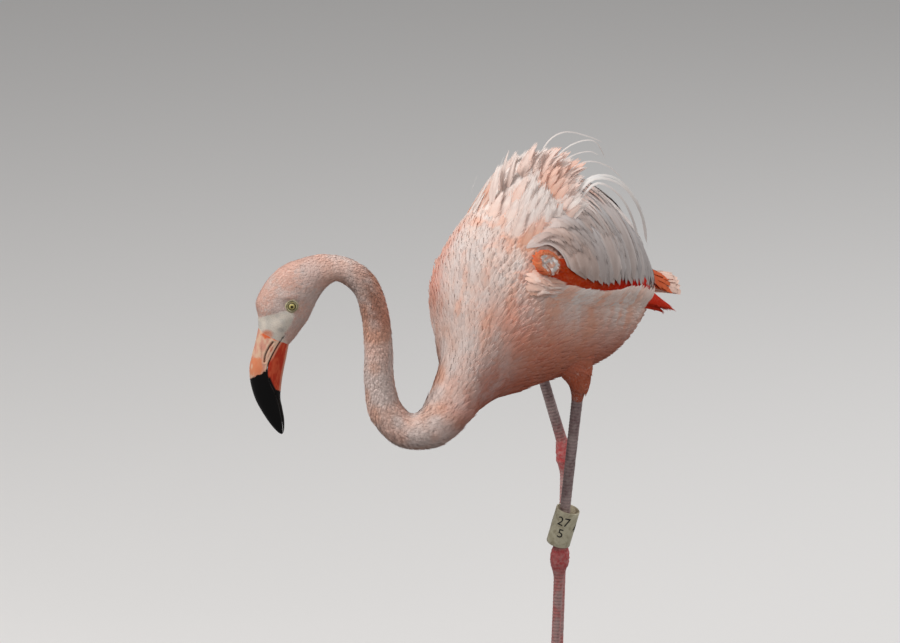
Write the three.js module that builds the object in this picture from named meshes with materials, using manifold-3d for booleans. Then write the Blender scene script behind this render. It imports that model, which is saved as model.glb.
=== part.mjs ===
// A Chilean flamingo that wades: it stands on its left leg, lifts the right one so that the drooping toes
// just touch the floor, hangs its neck forward and to its right, and raises the feathers of its back.
// Millimetres. +Z is up, -Y is the way the breast faces and +X is the bird's left.
// The origin is on the sole of the standing foot, on the floor, under the middle of the trunk.
import * as THREE from "three";
import { mergeVertices } from "three/addons/utils/BufferGeometryUtils.js";
import Module from "manifold-3d";

const wasm = await Module();
wasm.setup();

// ---------------------------------------------------------------- driving dimensions
const GAP = 0.5; // clear space between two neighbouring solids
const DEGREE = Math.PI / 180;

const NECK_HEADING = 50 * DEGREE; // the neck's plane, turned from straight ahead to the bird's right
const NECK_PLANE_OFFSET = 118; // from the origin to the neck's plane
const EYE = { reach: 265.7, height: 562.5, rise: 4.7, radius: 5.2, lateral: 15.6 };

const TARSUS_RADIUS = 4.9;
const SHANK_RADIUS = 5.8;
const ANKLE_RADIUS = 10.7;
const ANKLE_HALF_LENGTH = 20;
const KNUCKLE_HEIGHT = 8; // centre of the joint between the tarsus and the toes of a planted foot
const MIDDLE_TOE = { length: 88, spread: 0 };
const OUTER_TOE = { length: 79, spread: -31 };
const INNER_TOE = { length: 68, spread: 33 };
const CLAW_LENGTH = 10;
const WEB_THICKNESS = 2;

const BAND = { height: 42, inner: 11.6, wall: 1.4, seat: 16, lean: 9.5 * DEGREE };

// ---------------------------------------------------------------- colours
const paint = (color, roughness) => new THREE.MeshStandardMaterial({ color, roughness, metalness: 0 });
const PLUMAGE = paint(0xe9a58c, 0.85);
const PALE_PLUMAGE = paint(0xf0d9cf, 0.85);
const WING_RED = paint(0xe2501f, 0.75);
const BARE_SKIN = paint(0xb39fa0, 0.6);
const JOINT_PINK = paint(0xdf6f74, 0.55);
const BILL_BASE = paint(0xe8876a, 0.4);
const BILL_RED = paint(0xb8402a, 0.4);
const IRIS = paint(0xe8e0a0, 0.15);
const BAND_IVORY = paint(0xe2ddc0, 0.45);

// ---------------------------------------------------------------- small helpers
const point = (x, y, z) => new THREE.Vector3(x, y, z);
const ahead = (forward, height) => point(0, -forward, height); // a point of the bird's own middle plane

const neckForward = point(-Math.sin(NECK_HEADING), -Math.cos(NECK_HEADING), 0);
const neckSide = point(Math.cos(NECK_HEADING), -Math.sin(NECK_HEADING), 0);

// A point of the neck's plane, or beside it, from its reach ahead of the origin and its height.
function neckPoint(reach, height, beside = 0) {
  return neckForward
    .clone()
    .multiplyScalar(reach)
    .addScaledVector(neckSide, NECK_PLANE_OFFSET + beside)
    .setZ(height);
}

// A point of the head, from its distance ahead of the eye and above it.
const headPoint = (forward, up) => neckPoint(EYE.reach + forward, EYE.height + up);

// ---------------------------------------------------------------- solids
function solidOf(geometry) {
  const bare = geometry.clone();
  bare.deleteAttribute("normal");
  bare.deleteAttribute("uv");
  const merged = mergeVertices(bare, 1e-3);
  const build = (triVerts) =>
    new wasm.Manifold(
      new wasm.Mesh({
        numProp: 3,
        vertProperties: new Float32Array(merged.attributes.position.array),
        triVerts,
      }),
    );
  const triangles = new Uint32Array(merged.index.array);
  const solid = build(triangles);
  return solid.volume() < 0 ? build(triangles.reverse()) : solid;
}

// The one outer body of a solid: crumbs left by a cut and closed pockets are dropped.
const oneBody = (solid) => solid.decompose().reduce((a, b) => (a.volume() > b.volume() ? a : b));

const FINEST_DETAIL = 0.25; // edges that change the shape by less than this are merged

function geometryOf(solid) {
  const { numProp, numVert, vertProperties, triVerts } = solid.getMesh();
  const positions = new Float32Array(numVert * 3);
  for (let i = 0; i < numVert; i++) {
    positions.set(vertProperties.subarray(i * numProp, i * numProp + 3), i * 3);
  }
  const geometry = new THREE.BufferGeometry();
  geometry.setAttribute("position", new THREE.BufferAttribute(positions, 3));
  geometry.setIndex(new THREE.BufferAttribute(triVerts, 1));
  return geometry;
}

function meshOf(name, solid, material) {
  const rounded = solidOf(geometryOf(oneBody(solid).simplify(FINEST_DETAIL)));
  const geometry = geometryOf(oneBody(rounded));
  geometry.computeVertexNormals();
  const mesh = new THREE.Mesh(geometry, material);
  mesh.name = name;
  return mesh;
}

const join = (...solids) => solids.reduce((whole, piece) => whole.add(piece));


// A closed surface through rings with equal counts of points, each end closed by a fan.
function loft(rings) {
  const count = rings[0].length;
  const positions = rings.flat().flatMap((p) => p.toArray());
  const triangles = [];
  for (let r = 0; r + 1 < rings.length; r++) {
    for (let i = 0; i < count; i++) {
      const a = r * count + i;
      const b = r * count + ((i + 1) % count);
      triangles.push(a, b, a + count, b, b + count, a + count);
    }
  }
  for (const [ring, turn] of [[0, false], [rings.length - 1, true]]) {
    const middle = rings[ring].reduce((sum, p) => sum.add(p), point(0, 0, 0)).divideScalar(count);
    const centre = positions.push(...middle.toArray()) / 3 - 1;
    for (let i = 0; i < count; i++) {
      const a = ring * count + i;
      const b = ring * count + ((i + 1) % count);
      triangles.push(...(turn ? [centre, a, b] : [centre, b, a]));
    }
  }
  const geometry = new THREE.BufferGeometry();
  geometry.setAttribute("position", new THREE.Float32BufferAttribute(positions, 3));
  geometry.setIndex(triangles);
  return geometry;
}

// A round limb along a path of points, with a radius for each. flat squeezes it along its second normal.
function limb(path, radii, { sides = 10, steps = 4, flat = 1 } = {}) {
  const curve = new THREE.CatmullRomCurve3(path, false, "centripetal");
  const sizes = new THREE.CatmullRomCurve3(radii.map((r) => point(r, 0, 0)), false, "centripetal");
  const count = (path.length - 1) * steps;
  const frames = curve.computeFrenetFrames(count, false);
  const rings = [];
  for (let i = 0; i <= count; i++) {
    const t = i / count;
    const centre = curve.getPoint(t);
    const radius = sizes.getPoint(t).x;
    rings.push(
      Array.from({ length: sides }, (_, k) => {
        const angle = (k / sides) * 2 * Math.PI;
        return centre
          .clone()
          .addScaledVector(frames.normals[i], radius * Math.cos(angle))
          .addScaledVector(frames.binormals[i], radius * flat * Math.sin(angle));
      }),
    );
  }
  return solidOf(loft(rings));
}

// ---------------------------------------------------------------- the long body: rump to brow
// Each station is a slice of the body: its highest and lowest point, half its width, the way it faces,
// and how much narrower it gets towards its ridge.
const slice = (top, bottom, wide, heading = 0, ridge = 0) => ({ top, bottom, wide, heading, ridge });

const TRUNK = [
  slice(ahead(-162, 536), ahead(-160, 522), 10),
  slice(ahead(-151, 563), ahead(-147, 499), 34),
  slice(ahead(-116, 612), ahead(-112, 473), 61, 0, 0.1),
  slice(ahead(-60, 652), ahead(-64, 455), 83, 0, 0.15),
  slice(ahead(0, 672), ahead(-8, 451), 91, 0, 0.18),
  slice(ahead(66, 666), ahead(38, 449), 88, 0, 0.2),
  slice(ahead(120, 622), ahead(70, 446), 74, 0, 0.16),
  slice(ahead(139, 566), ahead(94, 443), 49),
  slice(ahead(149, 512), ahead(116, 434), 34, 8 * DEGREE),
];

// The neck's middle line in its plane, with the radius there.
const NECK_LINE = [
  { reach: 98, height: 448, radius: 27, beside: -6 },
  { reach: 118, height: 428, radius: 25 },
  { reach: 144, height: 426, radius: 22 },
  { reach: 165, height: 447, radius: 20.5 },
  { reach: 172, height: 480, radius: 18.2 },
  { reach: 173, height: 519, radius: 17.2 },
  { reach: 177.5, height: 558, radius: 16.6 },
  { reach: 188.5, height: 587, radius: 16.2 },
  { reach: 210, height: 602.5, radius: 16.2 },
];
const NECK_ROOT_HEADINGS = [20, 38]; // degrees; the first slices still turn from the trunk's heading

function neckSlices() {
  const line = new THREE.CatmullRomCurve3(NECK_LINE.map((p) => neckPoint(p.reach, p.height, p.beside)));
  return NECK_LINE.map(({ radius }, i) => {
    const t = i / (NECK_LINE.length - 1);
    const centre = line.getPoint(t);
    const nape = line.getTangent(t).cross(neckSide).normalize().multiplyScalar(radius);
    const heading = i < NECK_ROOT_HEADINGS.length ? NECK_ROOT_HEADINGS[i] * DEGREE : NECK_HEADING;
    return slice(centre.clone().add(nape), centre.clone().sub(nape), radius, heading);
  });
}

// Crown and throat of the head ahead of the eye and above it, with half the width.
const HEAD_LINE = [
  { crown: [-33.5, 59], throat: [-34.6, 17.8], wide: 17.2 },
  { crown: [-10.8, 54.6], throat: [-26.5, 4.5], wide: 19.2 },
  { crown: [10.8, 46], throat: [-22, -6], wide: 20.4 },
  { crown: [27, 30.5], throat: [-17.3, -15.6], wide: 20.2 },
  { crown: [38, 8], throat: [-9.7, -25.6], wide: 18.4 },
  { crown: [37, -11], throat: [-2.2, -35.6], wide: 15.8 },
  { crown: [36.4, -24.5], throat: [3.4, -41.6], wide: 14.2 },
];
const headSlice = ({ crown, throat, wide }) =>
  slice(headPoint(...crown), headPoint(...throat), wide, NECK_HEADING);

const LONG_BODY = [...TRUNK, ...neckSlices(), ...HEAD_LINE.map(headSlice)];
const NECK_START = TRUNK.length;
const HEAD_START = NECK_START + NECK_LINE.length;

// The same slices joined smoothly: three curves share one parameter, so each passes every station.
function blended(slices) {
  const curve = (points) => new THREE.CatmullRomCurve3(points, false, "centripetal");
  const tops = curve(slices.map((s) => s.top));
  const bottoms = curve(slices.map((s) => s.bottom));
  const sizes = curve(slices.map((s) => point(s.wide, s.heading * 20, s.ridge * 20)));
  return (station) => {
    const t = station / (slices.length - 1);
    const size = sizes.getPoint(t);
    return slice(tops.getPoint(t), bottoms.getPoint(t), size.x, size.y / 20, size.z / 20);
  };
}

function ringOf({ top, bottom, wide, heading, ridge }, sides, grow = 0) {
  const middle = top.clone().add(bottom).multiplyScalar(0.5);
  const rise = top.clone().sub(middle);
  const side = point(Math.cos(heading), -Math.sin(heading), 0).multiplyScalar(wide + grow);
  rise.setLength(rise.length() + grow);
  return Array.from({ length: sides }, (_, i) => {
    const angle = (i / sides) * 2 * Math.PI;
    const narrowed = 1 - ridge * Math.max(0, Math.sin(angle)) ** 2;
    return middle
      .clone()
      .addScaledVector(side, narrowed * Math.cos(angle))
      .addScaledVector(rise, Math.sin(angle));
  });
}

// The length of a blended body from one station to another. trim moves each end inwards by that much.
function length(body, first, last, { sides, steps, grow = 0, trim = [GAP / 2, GAP / 2] }) {
  const middle = (s) => s.top.clone().add(s.bottom).multiplyScalar(0.5);
  const along = (s) => middle(body(s + 0.02)).sub(middle(body(s - 0.02))).normalize();
  const rings = [];
  for (let i = 0; i <= steps; i++) {
    const station = first + ((last - first) * i) / steps;
    rings.push(ringOf(body(station), sides, grow));
  }
  rings[0].forEach((p) => p.addScaledVector(along(first + 0.05), trim[0]));
  rings[steps].forEach((p) => p.addScaledVector(along(last - 0.05), -trim[1]));
  return solidOf(loft(rings));
}

const body = blended(LONG_BODY);
const NECK_CUTS = [NECK_START + 1, NECK_START + 3.5, NECK_START + 6, HEAD_START];
const TRUNK_SIDES = 28;
const TRUNK_STEPS = 18;

const trunkGrown = (grow) =>
  length(body, 0, NECK_CUTS[0], { sides: TRUNK_SIDES, steps: TRUNK_STEPS, grow, trim: [-grow, -grow] });
const trunkClearance = trunkGrown(GAP);

const trunk = length(body, 0, NECK_CUTS[0], { sides: TRUNK_SIDES, steps: TRUNK_STEPS, trim: [0, GAP / 2] });
const neckLower = length(body, NECK_CUTS[0], NECK_CUTS[1], { sides: 14, steps: 9 });
const neckMiddle = length(body, NECK_CUTS[1], NECK_CUTS[2], { sides: 14, steps: 5 });
const neckUpper = length(body, NECK_CUTS[2], NECK_CUTS[3], { sides: 14, steps: 8 });

// ---------------------------------------------------------------- head and eyes
const eyeCentre = (hand) => neckPoint(EYE.reach, EYE.height + EYE.rise, hand * EYE.lateral);

function eyeBall(hand, radius) {
  const ball = new THREE.SphereGeometry(radius, 10, 7);
  ball.translate(...eyeCentre(hand).toArray());
  return solidOf(ball);
}

const HEAD_DETAIL = { sides: 20, steps: 12, trim: [GAP / 2, 0] };
const headWhole = length(body, HEAD_START, LONG_BODY.length - 1, HEAD_DETAIL);
const head = headWhole.subtract(eyeBall(1, EYE.radius + GAP)).subtract(eyeBall(-1, EYE.radius + GAP));

// ---------------------------------------------------------------- bill
// Culmen and keel of the bill, ahead of the eye and above it, with half the width. It bends at its middle.
const BILL_LINE = [
  { crown: [36.4, -24.5], throat: [3.4, -41.6], wide: 14 },
  { crown: [40, -41.2], throat: [4.9, -49], wide: 14.2 },
  { crown: [43, -52.5], throat: [6.4, -57], wide: 14 },
  { crown: [45.7, -66], throat: [8.6, -67.5], wide: 13.6 },
  { crown: [45.7, -77.5], throat: [10.5, -78.2], wide: 12.8 },
  { crown: [44, -88], throat: [12, -90.2], wide: 11.6 },
  { crown: [39.3, -103.2], throat: [12.6, -101.3], wide: 9.8 },
  { crown: [30.3, -119.9], throat: [10.6, -112.5], wide: 7.8 },
  { crown: [21.4, -132.8], throat: [8.2, -123.6], wide: 5.6 },
  { crown: [14.6, -139.6], throat: [6.4, -133.2], wide: 3.2 },
];
const MOUTH_LINE = [
  [2, -20.6], [14.3, -37.9], [21.4, -50.8], [25.9, -62], [26.2, -73.8], [23.2, -83.6], [18.9, -92.8],
  [15.3, -104.7], [12.8, -117.1], [10.8, -128.6], [8.6, -142.4],
];

const billBody = blended(BILL_LINE.map(headSlice));
const bill = length(billBody, 0, BILL_LINE.length - 1, { sides: 16, steps: 13, trim: [GAP, 0] });

// Everything on the throat's side of the mouth line, moved towards the throat by back.
function belowMouth(back) {
  const line = new THREE.SplineCurve(MOUTH_LINE.map(([x, y]) => new THREE.Vector2(x - back, y)));
  const outline = new THREE.Shape(line.getPoints(14));
  outline.lineTo(-60, -150);
  outline.lineTo(-60, -20);
  const slab = new THREE.ExtrudeGeometry(outline, { depth: 60, bevelEnabled: false });
  slab.translate(0, 0, -30);
  const axes = new THREE.Matrix4().makeBasis(neckForward, point(0, 0, 1), neckSide.clone().negate());
  slab.applyMatrix4(axes.setPosition(headPoint(0, 0)));
  return solidOf(slab);
}

const billLower = bill.intersect(belowMouth(GAP / 2));
const billUpper = bill.subtract(belowMouth(-GAP / 2));

// ---------------------------------------------------------------- legs
// The bare leg leaves the feathered thigh at exit, turns at the ankle and ends at the toes' knuckle.
const LEFT_LEG = {
  hip: point(52, 2, 486),
  exit: point(48, 7.4, 438),
  ankle: point(12.3, 20.9, 252),
  knuckle: point(3, 14, KNUCKLE_HEIGHT),
};
const DROOP = 86 * DEGREE; // how far the toes of the lifted foot hang below level
const LIFTED_KNUCKLE_HEIGHT = (MIDDLE_TOE.length + CLAW_LENGTH) * Math.sin(DROOP) - 0.6;
const RIGHT_LEG = {
  hip: point(-66, 50, 505),
  exit: point(-62.5, 67, 464),
  ankle: point(-45, 100, LIFTED_KNUCKLE_HEIGHT + 244.5),
  knuckle: point(-42, 83, LIFTED_KNUCKLE_HEIGHT),
};

const towards = (from, to) => to.clone().sub(from).normalize();
const shifted = (from, direction, distance) => from.clone().addScaledVector(direction, distance);

function leg({ hip, exit, ankle, knuckle }) {
  const down = towards(exit, ankle);
  const on = towards(ankle, knuckle);
  const thighTop = shifted(hip, down, -6);
  const thighEnd = shifted(exit, down, -GAP);
  const ankleTop = shifted(ankle, down, -ANKLE_HALF_LENGTH);
  const ankleEnd = shifted(ankle, on, ANKLE_HALF_LENGTH);
  const tarsusEnd = shifted(knuckle, on, -13);
  return {
    thigh: limb(
      [thighTop, hip, shifted(exit, down, -22), shifted(exit, down, -9), thighEnd],
      [30, 32, 19, 11, 7.6],
      { sides: 14, steps: 2 },
    ).subtract(trunkClearance),
    shank: limb([exit, shifted(ankleTop, down, -GAP)], [SHANK_RADIUS + 0.3, SHANK_RADIUS - 0.3]),
    ankle: limb(
      [ankleTop, shifted(ankle, down, -4), shifted(ankle, on, 8), ankleEnd],
      [SHANK_RADIUS + 0.4, ANKLE_RADIUS, ANKLE_RADIUS - 0.6, TARSUS_RADIUS + 0.8],
      { sides: 12, steps: 2 },
    ),
    tarsus: limb(
      [shifted(ankleEnd, on, GAP), shifted(ankle, on, 120), tarsusEnd],
      [TARSUS_RADIUS + 0.5, TARSUS_RADIUS - 0.3, TARSUS_RADIUS + 0.6],
      { steps: 2 },
    ),
  };
}

const leftLeg = leg(LEFT_LEG);
const rightLeg = leg(RIGHT_LEG);

// ---------------------------------------------------------------- feet
// A foot in its own frame: the toes run along -Y from a knuckle over the origin, and the sole is at Z 0.
function foot({ hand, closing, flatSole }) {
  const toes = [MIDDLE_TOE, OUTER_TOE, INNER_TOE].map(({ length: long, spread }) => {
    const turn = hand * spread * closing * DEGREE;
    const at = (distance, height) => point(Math.sin(turn) * distance, -Math.cos(turn) * distance, height);
    return { long, turn, at };
  });
  const bodies = toes.map(({ long, at }) =>
    limb(
      [at(-3, 5), at(long * 0.35, 4), at(long * 0.7, 3.4), at(long, 2.6), at(long + CLAW_LENGTH, 0.9)],
      [5.6, 4.6, 3.9, 3.1, 1.2],
      { sides: 7, steps: 1 },
    ),
  );
  const edge = new THREE.Shape();
  const [middle, outer, inner] = toes.map(({ long, at }) => at(long - 3, 0));
  const sagTo = (from, to) => from.clone().add(to).multiplyScalar(0.5 * 0.82);
  edge.moveTo(0, 6);
  edge.lineTo(outer.x, outer.y);
  edge.quadraticCurveTo(...sagTo(outer, middle).toArray().slice(0, 2), middle.x, middle.y);
  edge.quadraticCurveTo(...sagTo(middle, inner).toArray().slice(0, 2), inner.x, inner.y);
  edge.closePath();
  const webDetail = { depth: WEB_THICKNESS, bevelEnabled: false, curveSegments: 3 };
  const webGeometry = new THREE.ExtrudeGeometry(edge, webDetail);
  webGeometry.translate(0, 0, flatSole ? 0 : 2);
  const knuckle = new THREE.SphereGeometry(7.4, 8, 5);
  knuckle.translate(0, 0, KNUCKLE_HEIGHT);
  const hindPath = flatSole
    ? [point(0, 3, 9), point(hand * -3, 12, 7), point(hand * -4, 19, 3.5)]
    : [point(0, 2, 4), point(hand * -3, 6, -3), point(hand * -4, 11, -9)];
  const hindToe = limb(hindPath, [3, 2.4, 1.2], { sides: 6, steps: 1 });
  return join(...bodies, solidOf(webGeometry), solidOf(knuckle), hindToe);
}

const floorBlock = new THREE.BoxGeometry(600, 600, 100);
floorBlock.translate(0, 0, -50);
const belowFloor = solidOf(floorBlock);

// The stub joins the toes' knuckle to the tarsus.
function footStub({ ankle, knuckle }) {
  const up = towards(knuckle, ankle);
  return limb([knuckle, shifted(knuckle, up, 13 - GAP)], [7, TARSUS_RADIUS + 0.6], { steps: 2 });
}

const FOOT_TURN = -6 * DEGREE; // the standing foot points a little to the bird's right
const plantedMatrix = new THREE.Matrix4()
  .makeRotationZ(FOOT_TURN)
  .setPosition(LEFT_LEG.knuckle.x, LEFT_LEG.knuckle.y, 0);
const leftFoot = foot({ hand: 1, closing: 1, flatSole: true })
  .transform(plantedMatrix.toArray())
  .add(footStub(LEFT_LEG))
  .subtract(belowFloor);

const liftedMatrix = new THREE.Matrix4()
  .setPosition(RIGHT_LEG.knuckle)
  .multiply(new THREE.Matrix4().makeRotationX(DROOP))
  .multiply(new THREE.Matrix4().makeTranslation(0, 0, -KNUCKLE_HEIGHT));
const rightFoot = foot({ hand: -1, closing: 0.42, flatSole: false })
  .transform(liftedMatrix.toArray())
  .add(footStub(RIGHT_LEG))
  .subtract(belowFloor);

// ---------------------------------------------------------------- leg band
// A loose ring that hangs on the bulge of the ankle and leans a little on the shank.
function legBand() {
  const { height, inner, wall } = BAND;
  const profile = [[inner, 0], [inner + wall, 0], [inner + wall, height], [inner, height], [inner, 0]];
  const ring = new THREE.LatheGeometry(profile.map(([x, y]) => new THREE.Vector2(x, y)), 28);
  const up = towards(LEFT_LEG.ankle, LEFT_LEG.exit);
  const leaning = up.clone().applyAxisAngle(point(-0.643, 0.766, 0), BAND.lean);
  const middle = shifted(LEFT_LEG.ankle, up, BAND.seat + height / 2);
  ring.translate(0, -height / 2, 0);
  ring.applyQuaternion(new THREE.Quaternion().setFromUnitVectors(point(0, 1, 0), leaning));
  ring.translate(...middle.toArray());
  return solidOf(ring);
}

// ---------------------------------------------------------------- wings, tail and raised feathers
// A block whose outline is drawn as seen from the bird's side (forward, height), from one X to another.
function sideBlock(outline, from, to) {
  const shape = new THREE.Shape(outline.map(([forward, height]) => new THREE.Vector2(forward, height)));
  const block = new THREE.ExtrudeGeometry(shape, { depth: to - from, bevelEnabled: false });
  block.translate(0, 0, from);
  block.applyMatrix4(new THREE.Matrix4().makeBasis(point(0, -1, 0), point(0, 0, 1), point(1, 0, 0)));
  return solidOf(block); // that basis mirrors the block, and solidOf turns its faces back
}

// A layer of feathers that lies on the trunk inside such an outline.
const layer = (thickness, outline, from, to) =>
  trunkGrown(thickness).intersect(sideBlock(outline, from, to)).subtract(trunkClearance);

// A flat pointed feather, or a stack of them, from root to tip, bowed by sag.
function blade(root, tip, width, thickness, outward, sag = 0) {
  const middle = root.clone().lerp(tip, 0.5).addScaledVector(outward, sag);
  const curve = new THREE.QuadraticBezierCurve3(root, middle, tip);
  const shape = [0.75, 1, 0.8, 0.12];
  const rings = shape.map((share, i) => {
    const t = i / (shape.length - 1);
    const centre = curve.getPoint(t);
    const across = curve.getTangent(t).cross(outward).normalize().multiplyScalar((width / 2) * share);
    const up = outward.clone().multiplyScalar((thickness / 2) * Math.max(share, 0.35));
    return [across, up, across.clone().negate(), up.clone().negate()].map((o) => centre.clone().add(o));
  });
  return solidOf(loft(rings));
}

// Two stacks of tail feathers. spare widens them, to cut room for them out of their neighbours.
function tailFan(spare = 0) {
  const upright = point(0, 0.2, 1).normalize();
  const stack = (root, tip, width, thickness) =>
    blade(root, tip, width + 2 * spare, thickness + 3 * spare, upright, 4);
  return join(
    stack(ahead(-138, 542), ahead(-234, 524), 62, 11),
    stack(ahead(-138, 536), ahead(-226, 516), 48, 9),
  );
}
const tail = tailFan().subtract(trunkClearance);
const tailClearance = tailFan(GAP);

const WING_OUTLINE = [
  [104, 600], [98, 622], [70, 634], [20, 600], [-60, 580], [-140, 560], [-170, 520],
  [-118, 530], [-82, 541], [8, 558], [64, 577], [88, 584],
];
// The mantle lies between the wings; its outline is seen from the side.
const MANTLE_HALF_WIDTH = 64;
const MANTLE_THICKNESS = 12;
const MANTLE_OUTLINE = [[102, 612], [118, 660], [60, 720], [-70, 720], [-78, 636], [20, 632]];
const TERTIAL_THICKNESS = 9;
const TERTIAL_TIPS = 8;
const TERTIAL_EDGE = { front: [80, 607], dip: [18, 566], back: [-150, 532] };

// The lower edge of the long pale feathers: one small point for each feather's tip.
function tertialOutline() {
  const curve = new THREE.QuadraticBezierCurve(
    new THREE.Vector2(...TERTIAL_EDGE.front),
    new THREE.Vector2(...TERTIAL_EDGE.dip),
    new THREE.Vector2(...TERTIAL_EDGE.back),
  );
  const edge = [];
  for (let i = 0; i <= 2 * TERTIAL_TIPS; i++) {
    const p = curve.getPoint(i / (2 * TERTIAL_TIPS));
    edge.push([p.x, p.y + (i % 2 ? -4 : 5)]);
  }
  return [...edge, [-180, 560], [-150, 660], [-60, 720], [30, 720], [58, 650]];
}

function wing(hand) {
  const side = (from, to) => (hand > 0 ? [from, to] : [-to, -from]);
  const upright = point(hand, 0, 0.25).normalize();
  const reach = MANTLE_HALF_WIDTH + GAP;
  const mantleRoom = (dx, dy) => sideBlock(MANTLE_OUTLINE.map(([x, y]) => [x + dx, y + dy]), -reach, reach);
  const clearOfOthers = (solid) =>
    solid.subtract(mantleRoom(-GAP, -GAP)).subtract(mantleRoom(GAP, 0)).subtract(tailClearance);
  const tertials = clearOfOthers(layer(TERTIAL_THICKNESS, tertialOutline(), ...side(3, 160)));
  const coverts = layer(8, WING_OUTLINE, ...side(30, 160));
  const tuck = hand > 0 ? 0 : 9; // the right wing is held closer
  const wristPoint = (x, y, z) => point(hand * (x - tuck), y, z);
  const wrist = limb(
    [wristPoint(68, -92, 590), wristPoint(76, -84, 606), wristPoint(82, -60, 612)],
    [9, 15, 10],
    { sides: 10, steps: 2 },
  );
  const tips = [
    blade(point(hand * 62, 96, 540), point(hand * 36, 196, 496), 34, 9, upright, 5),
    blade(point(hand * 50, 100, 548), point(hand * 26, 186, 512), 34, 8, upright, 4),
  ];
  const arm = clearOfOthers(join(coverts, wrist, ...tips).subtract(trunkClearance));
  const moved = (dx, dy) => sideBlock(tertialOutline().map(([x, y]) => [x + dx, y + dy]), ...side(20, 200));
  return { tertials, arm: arm.subtract(moved(GAP, 0)).subtract(moved(0, -GAP)) };
}

const mantleLayer = layer(MANTLE_THICKNESS, MANTLE_OUTLINE, -MANTLE_HALF_WIDTH, MANTLE_HALF_WIDTH);

const leftWing = wing(1);
const rightWing = wing(-1);

// Rows of long loose feathers that stand up from the back like a ruffled crest: where each row is rooted,
// how far its plumes reach, how many there are, how far they spread sideways and how far they lean back.
const PLUME_ROWS = [
  { forward: 92, height: 636, reach: 32, count: 4, spread: 32, lean: -4 },
  { forward: 62, height: 653, reach: 36, count: 5, spread: 42, lean: 4 },
  { forward: 30, height: 660, reach: 37, count: 5, spread: 46, lean: 16 },
  { forward: -4, height: 662, reach: 34, count: 5, spread: 42, lean: 28 },
  { forward: -38, height: 654, reach: 28, count: 3, spread: 26, lean: 36 },
];

function mantle() {
  const plumes = PLUME_ROWS.flatMap(({ forward, height, reach, count, spread, lean }) =>
    Array.from({ length: count }, (_, i) => {
      const across = (2 * i) / (count - 1) - 1;
      const root = point(across * spread, -forward, height - 22 * across * across);
      const rise = point(across * 0.4, 0, 1).normalize();
      const tip = shifted(root, rise, reach + 5 * ((i * 7) % 3)).add(point(0, lean, 0));
      return blade(root, tip, 30, 9, point(across * 0.4, -1, 0).normalize(), 3);
    }),
  );
  const below = trunkGrown(TERTIAL_THICKNESS + GAP).intersect(sideBlock(tertialOutline(), -160, 160));
  return join(mantleLayer, join(...plumes).subtract(trunkClearance).subtract(below));
}

// ---------------------------------------------------------------- the flamingo
const flamingo = new THREE.Group();
flamingo.add(
  meshOf("trunk", trunk, PLUMAGE),
  meshOf("neck_lower", neckLower, PLUMAGE),
  meshOf("neck_middle", neckMiddle, PLUMAGE),
  meshOf("neck_upper", neckUpper, PLUMAGE),
  meshOf("head", head, PLUMAGE),
  meshOf("eye_left", eyeBall(1, EYE.radius), IRIS),
  meshOf("eye_right", eyeBall(-1, EYE.radius), IRIS),
  meshOf("bill_upper", billUpper, BILL_BASE),
  meshOf("bill_lower", billLower, BILL_RED),
  meshOf("mantle", mantle(), PALE_PLUMAGE),
  meshOf("wing_left", leftWing.arm, WING_RED),
  meshOf("wing_right", rightWing.arm, WING_RED),
  meshOf("tertials_left", leftWing.tertials, PALE_PLUMAGE),
  meshOf("tertials_right", rightWing.tertials, PALE_PLUMAGE),
  meshOf("tail", tail, PALE_PLUMAGE),
);
for (const [name, limbs, sole] of [["left", leftLeg, leftFoot], ["right", rightLeg, rightFoot]]) {
  flamingo.add(
    meshOf(`thigh_${name}`, limbs.thigh, PLUMAGE),
    meshOf(`shank_${name}`, limbs.shank, BARE_SKIN),
    meshOf(`ankle_${name}`, limbs.ankle, JOINT_PINK),
    meshOf(`tarsus_${name}`, limbs.tarsus, BARE_SKIN),
    meshOf(`foot_${name}`, sole, JOINT_PINK),
  );
}
flamingo.add(meshOf("leg_band", legBand(), BAND_IVORY));

export default flamingo;
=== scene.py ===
# %% [markdown]
# # A Chilean flamingo, leaning down on one leg
# This lesson dresses a plain solid model of the bird. The solids come in as a frame that is never moved:
# they give every place and size. Over them we make one bare skin, a two-part bill, glassy eyes, scaled legs,
# and a coat of many thousand feathers, each of them real geometry.

# %% Load the frame and keep its box
import math

import bmesh
import bpy
import numpy as np
from mathutils import Matrix, Vector
from mathutils.bvhtree import BVHTree
from mathutils.kdtree import KDTree


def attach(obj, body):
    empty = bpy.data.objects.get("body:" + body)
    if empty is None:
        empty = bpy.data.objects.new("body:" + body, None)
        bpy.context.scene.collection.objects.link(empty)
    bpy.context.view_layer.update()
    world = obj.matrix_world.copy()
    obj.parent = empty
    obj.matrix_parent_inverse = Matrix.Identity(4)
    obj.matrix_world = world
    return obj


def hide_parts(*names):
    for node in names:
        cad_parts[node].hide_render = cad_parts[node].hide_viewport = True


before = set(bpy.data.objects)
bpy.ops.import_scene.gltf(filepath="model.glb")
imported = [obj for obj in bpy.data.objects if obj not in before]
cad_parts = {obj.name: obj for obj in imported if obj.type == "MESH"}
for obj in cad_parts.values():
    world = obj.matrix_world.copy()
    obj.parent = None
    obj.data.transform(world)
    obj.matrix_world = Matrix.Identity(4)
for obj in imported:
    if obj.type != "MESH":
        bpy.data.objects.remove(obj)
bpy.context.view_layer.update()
scene = bpy.context.scene

# %% [markdown]
# ## Floor, light and camera
# A museum model is shown on a plain pale floor under broad soft lamps. One curved sheet, floor and wall in one,
# would do, but a flat floor and a pale world are simpler and leave no line behind the bird. The camera stands
# far off with a long lens, as one watches a shy bird, so near and far parts keep their true proportions.

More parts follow.
